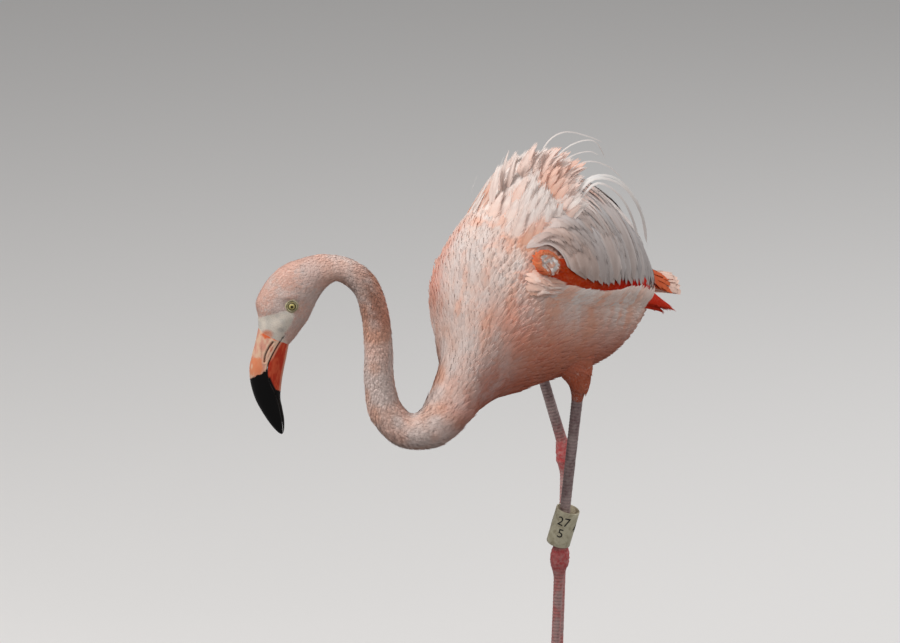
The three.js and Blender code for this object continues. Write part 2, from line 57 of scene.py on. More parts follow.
# %% Stage and camera
MM = 0.001
floor_mesh = bpy.data.meshes.new("floor")
floor_mesh.from_pydata([(-9, -9, 0), (9, -9, 0), (9, 9, 0), (-9, 9, 0)], [], [(0, 1, 2, 3)])
floor = bpy.data.objects.new("floor", floor_mesh)
floor.visible_diffuse = floor.visible_glossy = False  # it is seen, but throws no light up at the belly
scene.collection.objects.link(floor)

AZIMUTH, ELEVATION, DISTANCE = math.radians(40), math.radians(14), 24.0
PICTURE_WIDTH = 0.972  # metres seen from side to side, at the bird
SENSOR = 36
aim = Vector((-0.0735, -0.0617, 0.5165))
level = math.cos(ELEVATION)
back = Vector((math.sin(AZIMUTH) * level, -math.cos(AZIMUTH) * level, math.sin(ELEVATION)))
camera_data = bpy.data.cameras.new("camera")
camera_data.sensor_width = SENSOR
camera_data.lens = SENSOR * DISTANCE / PICTURE_WIDTH
camera = bpy.data.objects.new("camera", camera_data)
camera.location = aim + back * DISTANCE
camera.rotation_euler = back.to_track_quat("Z", "Y").to_euler()
scene.collection.objects.link(camera)
scene.camera = camera


def lamp(name, place, target, size, watts, colour=(1, 1, 1)):
    """A square soft lamp that looks at a point."""
    data = bpy.data.lights.new(name, "AREA")
    data.shape, data.size, data.energy, data.color = "SQUARE", size, watts, colour
    light = bpy.data.objects.new(name, data)
    light.location = place
    light.rotation_euler = (Vector(place) - Vector(target)).to_track_quat("Z", "Y").to_euler()
    scene.collection.objects.link(light)


lamp("key", (-0.9, -2.2, 3.3), (0, 0, 0.45), 1.3, 100, (1.0, 0.97, 0.94))
lamp("side", (3.2, -1.6, 1.9), (0, 0, 0.5), 2.2, 27, (1.0, 0.96, 0.94))
lamp("rim", (0.6, 2.6, 2.6), (0, 0, 0.5), 1.4, 44)
world = bpy.data.worlds.new("pale room")
world.use_nodes = True
background = world.node_tree.nodes["Background"].inputs
background["Color"].default_value = (0.84, 0.82, 0.81, 1)
background["Strength"].default_value = 0.24
scene.world = world
scene.view_settings.view_transform = "Standard"
print("camera at", [round(v, 3) for v in camera.location])

# %% [markdown]
# ## Small tools
# Everything is measured in millimetres and turned into metres only when a mesh is made. Curves run smoothly
# through named stations, rings of points make tubes, and one soft noise gives patches of colour. They are kept
# as plain functions, because the body, the legs and the bill all need them.


# %% Curves, rings and meshes
def through(points, stations):
    """Points of a smooth curve through the given ones; station 2.5 lies halfway from the third to the fourth."""
    p = np.asarray(points, float)
    p = np.vstack([2 * p[0] - p[1], p, 2 * p[-1] - p[-2]])
    s = np.clip(np.asarray(stations, float), 0, len(p) - 3 - 1e-9)
    i = np.floor(s).astype(int)
    w = (s - i)[:, None]
    a, b, c, d = p[i], p[i + 1], p[i + 2], p[i + 3]
    span = lambda u, v: np.maximum(np.sqrt(np.linalg.norm(v - u, axis=1))[:, None], 1e-3)
    d0, d1, d2 = span(a, b), span(b, c), span(c, d)
    t1 = ((b - a) / d0 - (c - a) / (d0 + d1) + (c - b) / d1) * d1
    t2 = ((c - b) / d1 - (d - b) / (d1 + d2) + (d - c) / d2) * d1
    return b + t1 * w + (3 * (c - b) - 2 * t1 - t2) * w**2 + (2 * (b - c) + t1 + t2) * w**3


def unit(v):
    """Vectors brought to length one."""
    return v / np.maximum(np.linalg.norm(v, axis=-1, keepdims=True), 1e-9)


def clouds(points, size, seed):
    """Soft noise from 0 to 1 with lumps of a given size; size may differ along X, Y and Z."""
    q = np.asarray(points, float) / np.asarray(size, float) + 1000.5 + 17.3 * seed
    cell = np.floor(q).astype(np.int64)
    f = q - cell
    f = f * f * (3 - 2 * f)
    total = 0
    for k in range(8):
        o = np.array([k & 1, k >> 1 & 1, k >> 2 & 1])
        c = cell + o
        h = (c[:, 0] * 73856093) ^ (c[:, 1] * 19349663) ^ (c[:, 2] * 83492791) ^ (seed * 2654435761)
        h = (h ^ (h >> 13)) * 1274126177 & 0x7FFFFFFF
        h = (h ^ (h >> 15)) & 0xFFFFF
        total = total + np.prod(np.where(o, f, 1 - f), axis=1) * h / 0xFFFFF
    return total


def bump_at(x, y, cx, cy, rx, ry):
    """A soft round hill, 1 at its middle (cx, cy), with its width in each direction."""
    return np.exp(-(((x - cx) / rx) ** 2) - ((y - cy) / ry) ** 2)


def ease(value, low, high):
    """0 below low, 1 above high, and smooth between them."""
    t = np.clip((value - low) / (high - low), 0, 1)
    return t * t * (3 - 2 * t)


def tube_faces(rows, columns, closed=True):
    """The quads of a net whose points are counted row by row; a closed one joins its last column to its first."""
    i, j = np.meshgrid(np.arange(rows - 1), np.arange(columns if closed else columns - 1), indexing="ij")
    k = (j + 1) % columns
    quads = np.stack([i * columns + j, i * columns + k, (i + 1) * columns + k, (i + 1) * columns + j], -1)
    return quads.reshape(-1, 4)


def solid_tube(rings):
    """Vertices and faces of a closed tube from an array of rings, both ends closed by a fan."""
    rows, columns, _ = rings.shape
    v = np.vstack([rings.reshape(-1, 3), rings[0].mean(0)[None], rings[-1].mean(0)[None]])
    first, last = rows * columns, rows * columns + 1
    faces = [tuple(f) for f in tube_faces(rows, columns)]
    base = (rows - 1) * columns
    for j in range(columns):
        k = (j + 1) % columns
        faces.append((first, k, j))
        faces.append((last, base + j, base + k))
    a, b, c = v[[f[0] for f in faces]], v[[f[1] for f in faces]], v[[f[2] for f in faces]]
    if np.einsum("ij,ij->", a, np.cross(b, c)) < 0:
        faces = [f[::-1] for f in faces]
    return v, faces


def make_object(name, vertices, faces, colours=None, smooth=True):
    """A mesh object from millimetre points, with its colour written on the points."""
    mesh = bpy.data.meshes.new(name)
    mesh.from_pydata((np.asarray(vertices) * MM).tolist(), [], [tuple(map(int, f)) for f in faces])
    mesh.polygons.foreach_set("use_smooth", [smooth] * len(mesh.polygons))
    if colours is not None:
        write_colour(mesh, colours)
    obj = bpy.data.objects.new(name, mesh)
    scene.collection.objects.link(obj)
    return obj


def write_colour(mesh, colours):
    """Writes one colour on every point, where the finishes read it."""
    attribute = mesh.attributes.get("pigment") or mesh.attributes.new("pigment", "FLOAT_COLOR", "POINT")
    rgba = np.ones((len(colours), 4), np.float32)
    rgba[:, :3] = colours
    attribute.data.foreach_set("color", rgba.ravel())


def points_of(mesh):
    """The mesh's points in millimetres."""
    co = np.empty(len(mesh.vertices) * 3, np.float32)
    mesh.vertices.foreach_get("co", co)
    return co.reshape(-1, 3).astype(float) / MM


def shade(red, green, blue):
    """A colour as a painter reads it from a chart (0 to 255), turned into light."""
    c = np.array([red, green, blue]) / 255
    return np.where(c < 0.04045, c / 12.92, ((c + 0.055) / 1.055) ** 2.4)


def mixed(a, b, share):
    """Colour a where share is 0, colour b where it is 1."""
    share = np.asarray(share)[..., None]
    return np.asarray(a) * (1 - share) + np.asarray(b) * share


print("a curve over three points, halfway to the second:", through([(0, 0), (1, 1), (2, 0)], [0.5]).round(3))

# %% [markdown]
# ## The bird's own directions
# The neck hangs in an upright plane that is turned to the bird's right, so the head has its own directions:
# ahead of the eye, above the eye, and out to each side. Writing the face in these three numbers keeps the two
# sides alike and lets one function shape both.

# %% Head and neck directions
HEADING = math.radians(50)
AHEAD = np.array([-math.sin(HEADING), -math.cos(HEADING), 0])
ASIDE = np.array([math.cos(HEADING), -math.sin(HEADING), 0])
PLANE = 118  # how far the head's middle plane lies from the bird's
EYE_REACH, EYE_HEIGHT = 265.7, 562.5  # the head's centre: ahead of the bird's middle, over the floor
EYE_RISE, EYE_OUT, EYE_RADIUS = 4.7, 15.6, 5.2
CHEEK_DROP = 0.249  # marks on the face sit higher the further out it swells
UP = np.array([0, 0, 1.0])


def neck_point(reach, height, beside):
    """A point in the neck's upright plane, so far ahead and so high, or a little beside the plane."""
    return reach * AHEAD + (PLANE + beside) * ASIDE + np.array([0, 0, height])


def head_point(x, y, out=0):
    """A point ahead of the head's centre, above it, and out to the left (or right, if negative)."""
    return neck_point(EYE_REACH + x, EYE_HEIGHT + y, out)


def in_head(points):
    """How far points lie ahead of the head's centre, above it and out from its middle plane."""
    return points @ AHEAD - EYE_REACH, points[..., 2] - EYE_HEIGHT, points @ ASIDE - PLANE


def on_face(points):
    """The same, with the cheeks' heights lowered."""
    x, y, out = in_head(points)
    return x, y - CHEEK_DROP * np.abs(out), out


print("left eye, mm:", head_point(0, EYE_RISE, EYE_OUT).round(1))

# %% [markdown]
# ## The long body
# Rump, breast, neck and brow are one continuous form, so they are one net of rings: each station is a slice
# with a top, a bottom and a half width, and smooth curves join the slices. A voxel remesh of the solids would
# also give one skin, but it would lose the rings, and the rings tell every feather which way to lie.

# %% Stations of the body
TRUNK = [  # forward and height of the top, of the bottom, half width, narrowing of the ridge
    (-162, 536, -160, 522, 10, 0),
    (-151, 563, -147, 499, 34, 0),
    (-116, 612, -112, 473, 61, 0.1),
    (-60, 652, -64, 455, 83, 0.15),
    (0, 672, -8, 451, 91, 0.18),
    (66, 666, 38, 449, 88, 0.2),
    (120, 622, 70, 446, 74, 0.16),
    (139, 566, 94, 443, 49, 0),
    (149, 512, 116, 434, 34, 0),
]
NECK = [  # reach, height, radius
    (98, 448, 27),
    (118, 428, 25),
    (144, 426, 22),
    (165, 447, 20.5),
    (172, 480, 18.2),
    (173, 519, 17.2),
    (177.5, 558, 16.6),
    (188.5, 587, 16.2),
    (210, 602.5, 16.2),
]
HEAD = [  # crown, throat, half width
    (-33.5, 59, -34.6, 17.8, 17.2),
    (-10.8, 54.6, -26.5, 4.5, 19.2),
    (10.8, 46, -22, -6, 20.4),
    (27, 30.5, -17.3, -15.6, 20.2),
    (38, 8, -9.7, -25.6, 18.4),
    (37, -11, -2.2, -35.6, 15.8),
    (36.4, -24.5, 3.4, -41.6, 14.2),
]
tops = [(0, -f, z) for f, z, *_ in TRUNK]
bottoms = [(0, -f, z) for _, _, f, z, *_ in TRUNK]
LAST_TURN = 8 / 57.3  # the trunk's last slice turns eight degrees towards the neck
sizes = [(w, LAST_TURN if row is TRUNK[-1] else 0, ridge) for row in TRUNK for w, ridge in [row[4:]]]
neck_line = [neck_point(r, h, -6 if i == 0 else 0) for i, (r, h, _) in enumerate(NECK)]
for i, (_, _, radius) in enumerate(NECK):
    here, fore, aft = through(neck_line, [i, i + 0.001, i - 0.001])
    if i == 0:
        aft = here
    nape = unit(np.cross(fore - aft, ASIDE)) * radius
    tops.append(here + nape)
    bottoms.append(here - nape)
    sizes.append((radius, math.radians((20, 38)[i]) if i < 2 else HEADING, 0))
for cx, cy, tx, ty, w in HEAD:
    tops.append(head_point(cx, cy))
    bottoms.append(head_point(tx, ty))
    sizes.append((w, HEADING, 0))
LAST_STATION = len(tops) - 1


def body_rings(stations, sides, grow):
    """Rings of the long body, larger all round by grow; a ring starts at its lowest point and rises on the left."""
    top, bottom, size = through(tops, stations), through(bottoms, stations), through(sizes, stations)
    middle = (top + bottom) / 2
    rise = top - middle
    grow = np.broadcast_to(np.asarray(grow, float), len(stations))[:, None]
    length = np.linalg.norm(rise, axis=1, keepdims=True)
    rise = rise / length * (length + grow)
    side = np.stack([np.cos(size[:, 1]), -np.sin(size[:, 1]), 0 * size[:, 1]], 1) * (size[:, :1] + grow)
    angle = np.arange(sides) / sides * 2 * math.pi - math.pi / 2
    cos, sin = np.cos(angle), np.sin(angle)
    narrowed = 1 - size[:, 2:3] * np.maximum(0, sin) ** 2
    return (
        middle[:, None]
        + side[:, None] * (narrowed * cos)[..., None]
        + rise[:, None] * sin[None, :, None]
    )


def body_tree(grow):
    """A tree of surfaces to find places on the body, larger all round by grow."""
    v, f = solid_tube(body_rings(np.arange(0, LAST_STATION + 1e-6, 0.25), 64, grow))
    return BVHTree.FromPolygons([Vector(p) for p in v], f), v


OUTER = 8  # wing and back feathers lie this far above the form


def on_side(f, z, hand, lift):
    """The place and the outward direction on the trunk's side at a forward distance and a height.

    hand is 1 on the bird's left and -1 on its right, here and everywhere below.
    The height is read on a larger form, where the wing and the back feathers lie."""
    hit, normal, _, _ = outer_tree.ray_cast(Vector((hand * 200, -f, z)), Vector((-hand, 0, 0)))
    if hit is None:
        hit, normal, _, _ = outer_tree.find_nearest(Vector((hand * 6, -f, z)))
    hit, normal = np.array(hit), np.array(normal)
    if normal @ (hit - np.array([0, -f, 550])) < 0:
        normal = -normal
    return hit + normal * (lift - OUTER), normal


def wing_low(f):
    """Height of the folded wing's lower edge."""
    forward = [-170, -118, -82, -53, -20, 14, 51, 74, 88, 95]
    return np.interp(f, forward, [524, 532, 545, 557, 561, 568, 579, 587, 596, 603])


form_tree, form_points = body_tree(0)
outer_tree, _ = body_tree(OUTER)
print("body stations:", len(tops), "form box:", form_points.min(0).round(), form_points.max(0).round())

# %% [markdown]
# ## Markings
# A flamingo's colour comes from its food and lies unevenly: salmon on the belly, near white on the breast and the
# long back feathers, orange in single feathers, red in the wing. One function of place gives the colour for skin
# and feathers alike, so a gap in the coat never shows a wrong colour. Painting by hand would tie it to one mesh.

# %% Colours of the coat
SALMON, PEACH, CORAL = shade(232, 156, 130), shade(242, 190, 166), shade(238, 138, 104)
PALE, WHITE, MIST, SILVER = shade(246, 220, 208), shade(247, 241, 238), shade(222, 212, 210), shade(218, 224, 230)
# UNDERSIDE_SHADE is a deep rust tone, used as painted shade on the underside
ORANGE, UNDERSIDE_SHADE, TAN = shade(250, 158, 104), shade(184, 84, 50), shade(206, 156, 128)
# WING_ORANGE is the coverts' orange darkened with painted shade, to the tone of the band that lies under the drape
WING_RED, WING_ORANGE = shade(214, 20, 4), shade(208, 66, 16)


def coat_colour(points, seed=0):
    """The coat's colour at points in millimetres."""
    f, z, across = -points[:, 1], points[:, 2], np.abs(points[:, 0])
    x, y, _ = in_head(points)
    lump = clouds(points, 16, seed + 1)
    fine = clouds(points, 5, seed + 2)
    each = clouds(points, 2.1, seed + 6)
    streak = clouds(points, (8, 8, 30), seed + 3)
    # trunk: salmon belly, near-white breast and back, orange feathers here and there; painted shade darkens the
    # underside
    high = ease(z - 0.30 * f, 476, 566)
    front = ease(f, 84, 120) * np.exp(-((across / 44) ** 2)) * ease(z, 452, 520)
    light = np.maximum(high, front)
    colour = mixed(SALMON, PALE, light)
    colour = mixed(colour, WHITE, ease(0.6 * streak + 0.4 * each, 0.42, 0.62) * light * 0.75)
    spark = ease(0.75 * clouds(points, (9, 9, 34), seed + 4) + 0.25 * each, 0.5, 0.7)
    colour = mixed(colour, ORANGE, spark * (0.14 + 0.5 * light))
    colour = mixed(
        colour, CORAL, ease(f, 70, 120) * ease(across, 36, 62) * ease(z, 470, 560) * 0.45 * ease(lump, 0.3, 0.6)
    )
    colour = mixed(
        colour, MIST, ease(0.5 * fine + 0.5 * each, 0.55, 0.7) * 0.6 * ease(f, 70, 130) * ease(-z, -560, -470)
    )
    colour = mixed(colour, CORAL, ease(lump, 0.55, 0.8) * 0.25 * (1 - light))
    # painted shade: a deep rust tone darkens the belly and the thighs towards the bottom, where less light falls
    colour = mixed(colour, UNDERSIDE_SHADE, ease(-z, -530, -450) * 0.9)
    colour = mixed(colour, CORAL, ease(f, 60, 115) * ease(-points[:, 0], 8, 44) * ease(z, 470, 540) * 0.5)
    colour = mixed(colour, PALE, ease(-f, 40, 100) * ease(z, 495, 545) * 0.8)
    colour = mixed(colour, WHITE, ease(-f, 90, 130) * ease(z, 500, 545) * 0.6)
    chest = ease(f, 74, 108) * np.exp(-(((points[:, 0] - 6) / 40) ** 2)) * ease(z, 440, 480)
    barred = ease(0.7 * clouds(points, (7, 7, 26), seed + 9) + 0.3 * each, 0.42, 0.6)
    colour = mixed(colour, mixed(WHITE, MIST, 0.6), chest * (0.25 + 0.6 * barred))
    # neck: peach with fine grey-white mottling; at its bend browner, with painted shade
    neck = ease(x, -215, -150) * ease(-y, -20, 40)
    neck = np.maximum(neck, ease(x, -120, -80))
    tone = mixed(mixed(PEACH, TAN, 0.45), mixed(PALE, MIST, 0.7), 0.3 + 0.6 * ease(lump, 0.3, 0.65))
    tone = mixed(tone, WHITE, ease(each, 0.5, 0.9) * 0.22)
    tone = mixed(tone, ORANGE, ease(clouds(points, (14, 14, 26), seed + 11), 0.5, 0.8) * 0.25)
    # painted shade: where the neck bends over, its top is darkened and browned
    tone = mixed(tone, shade(164, 112, 90), ease(z, 522, 560) * ease(-x, 54, 90) * (0.5 + 0.4 * ease(fine, 0.4, 0.6)))
    colour = mixed(colour, tone, neck)
    # head: a warmer crown, grey-white cheeks behind the eye
    head = ease(x, -60, -25)
    crown = mixed(
        mixed(PEACH, CORAL, 0.15), mixed(PALE, MIST, 0.7), 0.4 + ease(0.6 * lump + 0.4 * each, 0.45, 0.75) * 0.45
    )
    crown = mixed(crown, MIST, ease(bump_at(x, y, -20, 40, 17, 20), 0.3, 0.9) * 0.45)
    crown = mixed(crown, mixed(PALE, MIST, 0.4), ease(-y - 0.3 * x, 2, 24) * 0.25)
    colour = mixed(colour, crown, head)
    return mixed(colour, TAN, ease(clouds(points, 9, seed + 8), 0.6, 0.9) * 0.15)


print("colour of belly and back:", coat_colour(np.array([(0, 0, 455), (0, 0, 670.0)])).round(2).tolist())

# %% [markdown]
# ## The bare face
# Between eye and bill the face is bare, bluish white, with a fine line of painted shadow where the mouth runs on into
# the cheek.
# Its edge is a drawn line of points. A painted mask would do the same, but a line is easier to move.


# %% Colours and edge of the bare face
def face_colour(points):
    """Bare skin between eye and bill: bluish white, warmer towards the bill and the mouth's corner."""
    x, y, _ = on_face(points)
    bare = mixed(shade(238, 228, 214), shade(206, 204, 196), ease(clouds(points, 5, 21), 0.45, 0.8) * 0.5)
    bare = mixed(bare, shade(232, 146, 112), ease(bump_at(x, y, 27, -31, 9, 7), 0.35, 0.9))
    bare = mixed(bare, shade(176, 174, 168), ease(bump_at(x, y, 12, -26, 6, 4), 0.4, 0.95) * 0.5)
    bare = mixed(bare, shade(232, 196, 180), ease(bump_at(x, y, 6, -36, 5, 6), 0.3, 0.9) * 0.8)
    gape = mouth_distance(points)
    bare = mixed(bare, shade(240, 226, 208), np.exp(-(((gape - 1.3) / 0.7) ** 2)) * 0.8)
    # painted shadow: a near-black line along the mouth's line on the face
    return mixed(bare, shade(30, 16, 14), ease(0.9 - gape, 0, 0.4))


GAPE = [(3.5, -23), (8.5, -29.6), (14.3, -37.9), (21.4, -50.8)]  # the line of the mouth, ahead and up


def mouth_distance(points):
    """How far points of the face lie from the line of the mouth, which runs on from the bill."""
    x, y, _ = in_head(points)
    line = through(GAPE, np.linspace(0, 3, 60))
    return np.sqrt(((np.stack([x, y], -1)[..., None, :] - line) ** 2).sum(-1)).min(-1)


FEATHER_EDGE = np.array([  # where the face's feathers end, from the brow to the throat
    (40, -4), (35, -13), (31.3, -11), (17.3, -8), (7.5, -4.5), (-1.5, -6.5), (-2.2, -11), (0, -18), (4.3, -25.6),
    (8.5, -31.5), (6, -40),
], float)


def bare_share(points):
    """1 on the face's bare skin, 0 under feathers: the bare part lies on the bill's side of one drawn line."""
    x, y, _ = on_face(points)
    a, b = FEATHER_EDGE[:-1], FEATHER_EDGE[1:]
    p = np.stack([x, y], -1)[..., None, :]
    t = np.clip(((p - a) * (b - a)).sum(-1) / ((b - a) ** 2).sum(-1), 0, 1)
    gap = np.linalg.norm(p - (a + t[..., None] * (b - a)), axis=-1)
    k = gap.argmin(-1)
    e, o = (b - a)[k], p[..., 0, :] - a[k]
    side = np.sign(e[..., 0] * o[..., 1] - e[..., 1] * o[..., 0])
    signed = gap.min(-1) * side
    return ease(signed, -0.9, 0.9) * ease(x, -6, -1)


print("bare ahead of the eye and behind it:", bare_share(np.array([head_point(20, -13, 15), head_point(-20, 5, 15)])))

# %% [markdown]
# ## The skin of the body
# Under its feathers the bird is a little slimmer than it looks. The skin is the body's net drawn in by the depth
# of the coat: four and a half millimetres on the trunk, two to three on the neck, next to nothing on the bare face.
# Extra rings crowd the head, where sockets, brow and cheek are pressed in with soft bumps, as a modeller thumbs clay.

# %% Body skin
SIDES = 112
PARTS = [(0, 8, 60), (8, 18, 130), (18, 22, 60)]  # trunk, neck, back of the head: from station, to station, rings
stations = np.concatenate([np.linspace(*part, endpoint=False) for part in PARTS] + [np.linspace(22, LAST_STATION, 90)])
TRUNK_DEPTH = 4.5
coat_depth = np.interp(
    stations, [0, 1, 10, 12, 18, 21, 22.5, 24], [3, TRUNK_DEPTH, TRUNK_DEPTH, 3.2, 2.4, 1.5, 0.6, 0.4]
)
skin_rings = body_rings(stations, SIDES, -coat_depth)


def press_face(points):
    """Sockets, brow, lores, cheeks and the fold behind the mouth, as moves to the side."""
    x, y, out = on_face(points)
    move = -1.9 * bump_at(x, y, 0.5, 0.4, 8.5, 7.5)
    move += 1.1 * bump_at(x, y, 3, 9.5, 12, 4.2)
    move -= 1.5 * bump_at(x, y, 20, -13, 8, 7)
    move += 0.7 * bump_at(x, y, 8, -17, 5, 7)
    move += 1.0 * bump_at(x, y, -9, -14, 8, 9)
    move -= 0.9 * bump_at(x, y, 9, -33, 2.2, 5.5)
    move += 0.8 * bump_at(x, y, 30, -24, 6, 7)
    fade = ease(np.abs(out), 6, 13)
    return points + ASIDE * (np.sign(out) * move * fade)[..., None]


skin_rings = press_face(skin_rings)
x, y, _ = on_face(skin_rings)
brow_step = 0.9 * bump_at(x, y, 38, 3, 6, 7)
skin_rings = skin_rings + AHEAD * brow_step[..., None]
arc = np.linalg.norm(np.diff(skin_rings.mean(1), axis=0), axis=1)
run = np.concatenate([[0], np.cumsum(arc)]) / arc.sum()
BODY_ALONG, BODY_AROUND = 0.01 + 0.98 * run, 0.01 + 0.64 * np.arange(SIDES + 1) / SIDES  # the body on the flat map
print("body skin:", skin_rings.shape, "length from rump to bill, mm:", round(float(arc.sum())))

# %% [markdown]
# ## Legs
# A flamingo's leg is bare above and below its ankle: a straight rod in rings of horny scutes, an ankle joint as
# knobbly as a knot, and a thinner rod below. Each leg is one swept tube, so thigh, joint and shin meet with no
# seam, and its many rings leave room to press every scute's edge in.


# %% Swept tubes
def swept(path, radii, sides, step, front=(0, -1, 0)):
    """Rings along a smooth path with radii given at its points, also how far each ring lies along it."""
    dense = np.linspace(0, len(path) - 1, 40 * len(path))
    line = through(path, dense)
    reach = np.concatenate([[0], np.cumsum(np.linalg.norm(np.diff(line, axis=0), axis=1))])
    count = max(int(reach[-1] / step), 2)
    s = np.interp(np.linspace(0, reach[-1], count), reach, dense)
    centre = through(path, s)
    radius = through(np.stack([radii, radii, radii], 1), s)[:, :1]
    along = unit(np.gradient(centre, axis=0))
    ahead = unit(np.array(front) - along * (along @ np.array(front))[:, None])
    beside = np.cross(along, ahead)
    angle = np.arange(sides) / sides * 2 * math.pi
    spoke = ahead[:, None] * np.cos(angle)[None, :, None] + beside[:, None] * np.sin(angle)[None, :, None]
    return centre[:, None] + spoke * radius[..., None], spoke, np.linspace(0, reach[-1], count)


def v3(*p):
    """A point or a direction."""
    return np.array(p, float)


print("rings of a straight tube 10 mm long:", swept([(0, 0, 0), (0, 0, 10)], [1, 1], 8, 1)[0].shape)

# %% [markdown]
# ## Both legs
# The bird stands on its left leg and has lifted the right one. Each leg is given by four points, and the top of its
# tube is pulled on to the trunk, so the thigh sinks into the flank instead of standing on it. Scutes are pressed in
# where the leg is bare, each with its seam at a fixed distance from the last, and the ankle's skin is pebbled.

# %% Legs
# hip joint, edge of the feathers, ankle and knuckle of the toes
LEFT = dict(hip=v3(52, 2, 486), cuff=v3(48, 7.4, 438), ankle=v3(12.3, 20.9, 252), knuckle=v3(3, 14, 8))
RIGHT = dict(hip=v3(-66, 50, 505), cuff=v3(-62.5, 67, 464), ankle=v3(-45, 100, 341.66), knuckle=v3(-42, 83, 97.16))
SCUTE = 3.7  # length of one horny plate


def leg_parts(hip, cuff, ankle, knuckle):
    """Rings of one leg, their outward directions, how far along each lies, and the directions of its two rods."""
    down, on = unit(ankle - cuff), unit(knuckle - ankle)
    path = [
        hip - down * 10, hip, cuff - down * 22, cuff - down * 9, cuff + down * 2, ankle - down * 90,
        ankle - down * 20, ankle - down * 10, ankle - down * 3, ankle + on * 6, ankle + on * 14, ankle + on * 24,
        ankle + on * 110, knuckle - on * 20, knuckle - on * 4,
    ]
    radii = [24, 28, 15.5, 8.6, 6.2, 5.7, 6.0, 8.6, 10.3, 10.2, 7.6, 5.5, 4.6, 4.9, 6.4]
    rings, spoke, reach = swept(path, radii, 26, 0.92)
    # the top of the thigh sinks into the trunk's side instead of standing on it; proud is its height over the skin
    above_cuff = (rings.mean(1) - cuff) @ -down
    proud = np.interp(above_cuff, [4, 14, 26, 42], [60, 26, 9, -6])
    for i in np.flatnonzero(above_cuff > 4):
        for j, point in enumerate(rings[i]):
            place, normal, _, _ = form_tree.find_nearest(Vector(point))
            height = (Vector(point) - place).dot(normal) + TRUNK_DEPTH
            if height > proud[i]:
                rings[i, j] -= np.array(normal) * (height - proud[i])
    return rings, spoke, reach, down, on


def dress_leg(hip, cuff, ankle, knuckle):
    """Scutes pressed into the bare part, and the leg's own colours."""
    rings, spoke, reach, down, on = leg_parts(hip, cuff, ankle, knuckle)
    centre = rings.mean(1)
    below_cuff = (centre - cuff) @ down
    past_ankle = (centre - ankle) @ on
    phase = (reach / SCUTE) % 1
    front = np.cos(np.arange(rings.shape[1]) / rings.shape[1] * 2 * math.pi)
    facing = ease(front, -0.5, 0.1)[None]
    bare = ease(below_cuff, -1, 4)[:, None]
    joint = np.exp(-((np.minimum(np.abs(past_ankle), 60) / 17) ** 4))[:, None]
    seam = np.exp(-(((phase - 0.5) / 0.16) ** 2))[:, None]
    flat = rings.reshape(-1, 3)
    pebble = (clouds(flat, 2.3, 31) - 0.5).reshape(rings.shape[:2])
    move = bare * (-0.42 * seam * facing * (1 - joint) + pebble * (0.35 + 0.9 * joint) * (1.1 - facing * (1 - joint)))
    rings = rings + spoke * move[..., None]
    patch = clouds(flat, (9, 9, 14), 33).reshape(rings.shape[:2])
    grey, lilac, pink = shade(150, 122, 124), shade(186, 160, 160), shade(204, 108, 104)
    red = shade(210, 84, 86)
    horn = mixed(grey, lilac, ease(patch, 0.35, 0.7))
    horn = mixed(horn, pink, (ease(past_ankle, -46, -14)[:, None] * 0.75) + 0 * patch)
    horn = mixed(horn, red, joint + 0 * patch)
    shin = mixed(shade(206, 160, 158), shade(218, 128, 126), ease(patch, 0.3, 0.75))
    horn = mixed(horn, shin, ease(past_ankle, 14, 30)[:, None] + 0 * patch)
    horn = mixed(horn, horn * 0.42, seam * facing * (1 - joint) * 0.85)
    horn = mixed(horn, horn * 0.7, ease(pebble, -0.1, -0.4) * (0.3 + 0.5 * joint))
    thigh = coat_colour(flat, 3).reshape(*rings.shape)
    return rings, mixed(thigh, horn, bare + 0 * patch)


left_leg, left_colour = dress_leg(**LEFT)
right_leg, right_colour = dress_leg(**RIGHT)
print("leg rings:", left_leg.shape, right_leg.shape)

# %% [markdown]
# ## Webbed feet
# Three long toes joined by a wrinkled web, and a tiny hind toe. Toes and web grow out of each other, so they are
# first made as loose overlapping shapes and then melted into one by a fine voxel remesh, which is quicker and
# smoother than joining the meshes by hand. The standing foot lies flat, the lifted one hangs half closed.

# %% Foot shapes
TOES = [(88, 0), (79, -31), (68, 33)]  # length, spread in degrees
CLAW = 10
LIFTED_SPREAD = 0.42  # share of that spread on the foot that hangs
DEGREES = 57.296  # in one radian


def toe_at(turn, distance, height):
    """A point of a toe that is turned from straight ahead by an angle."""
    return v3(math.sin(turn) * distance, -math.cos(turn) * distance, height)


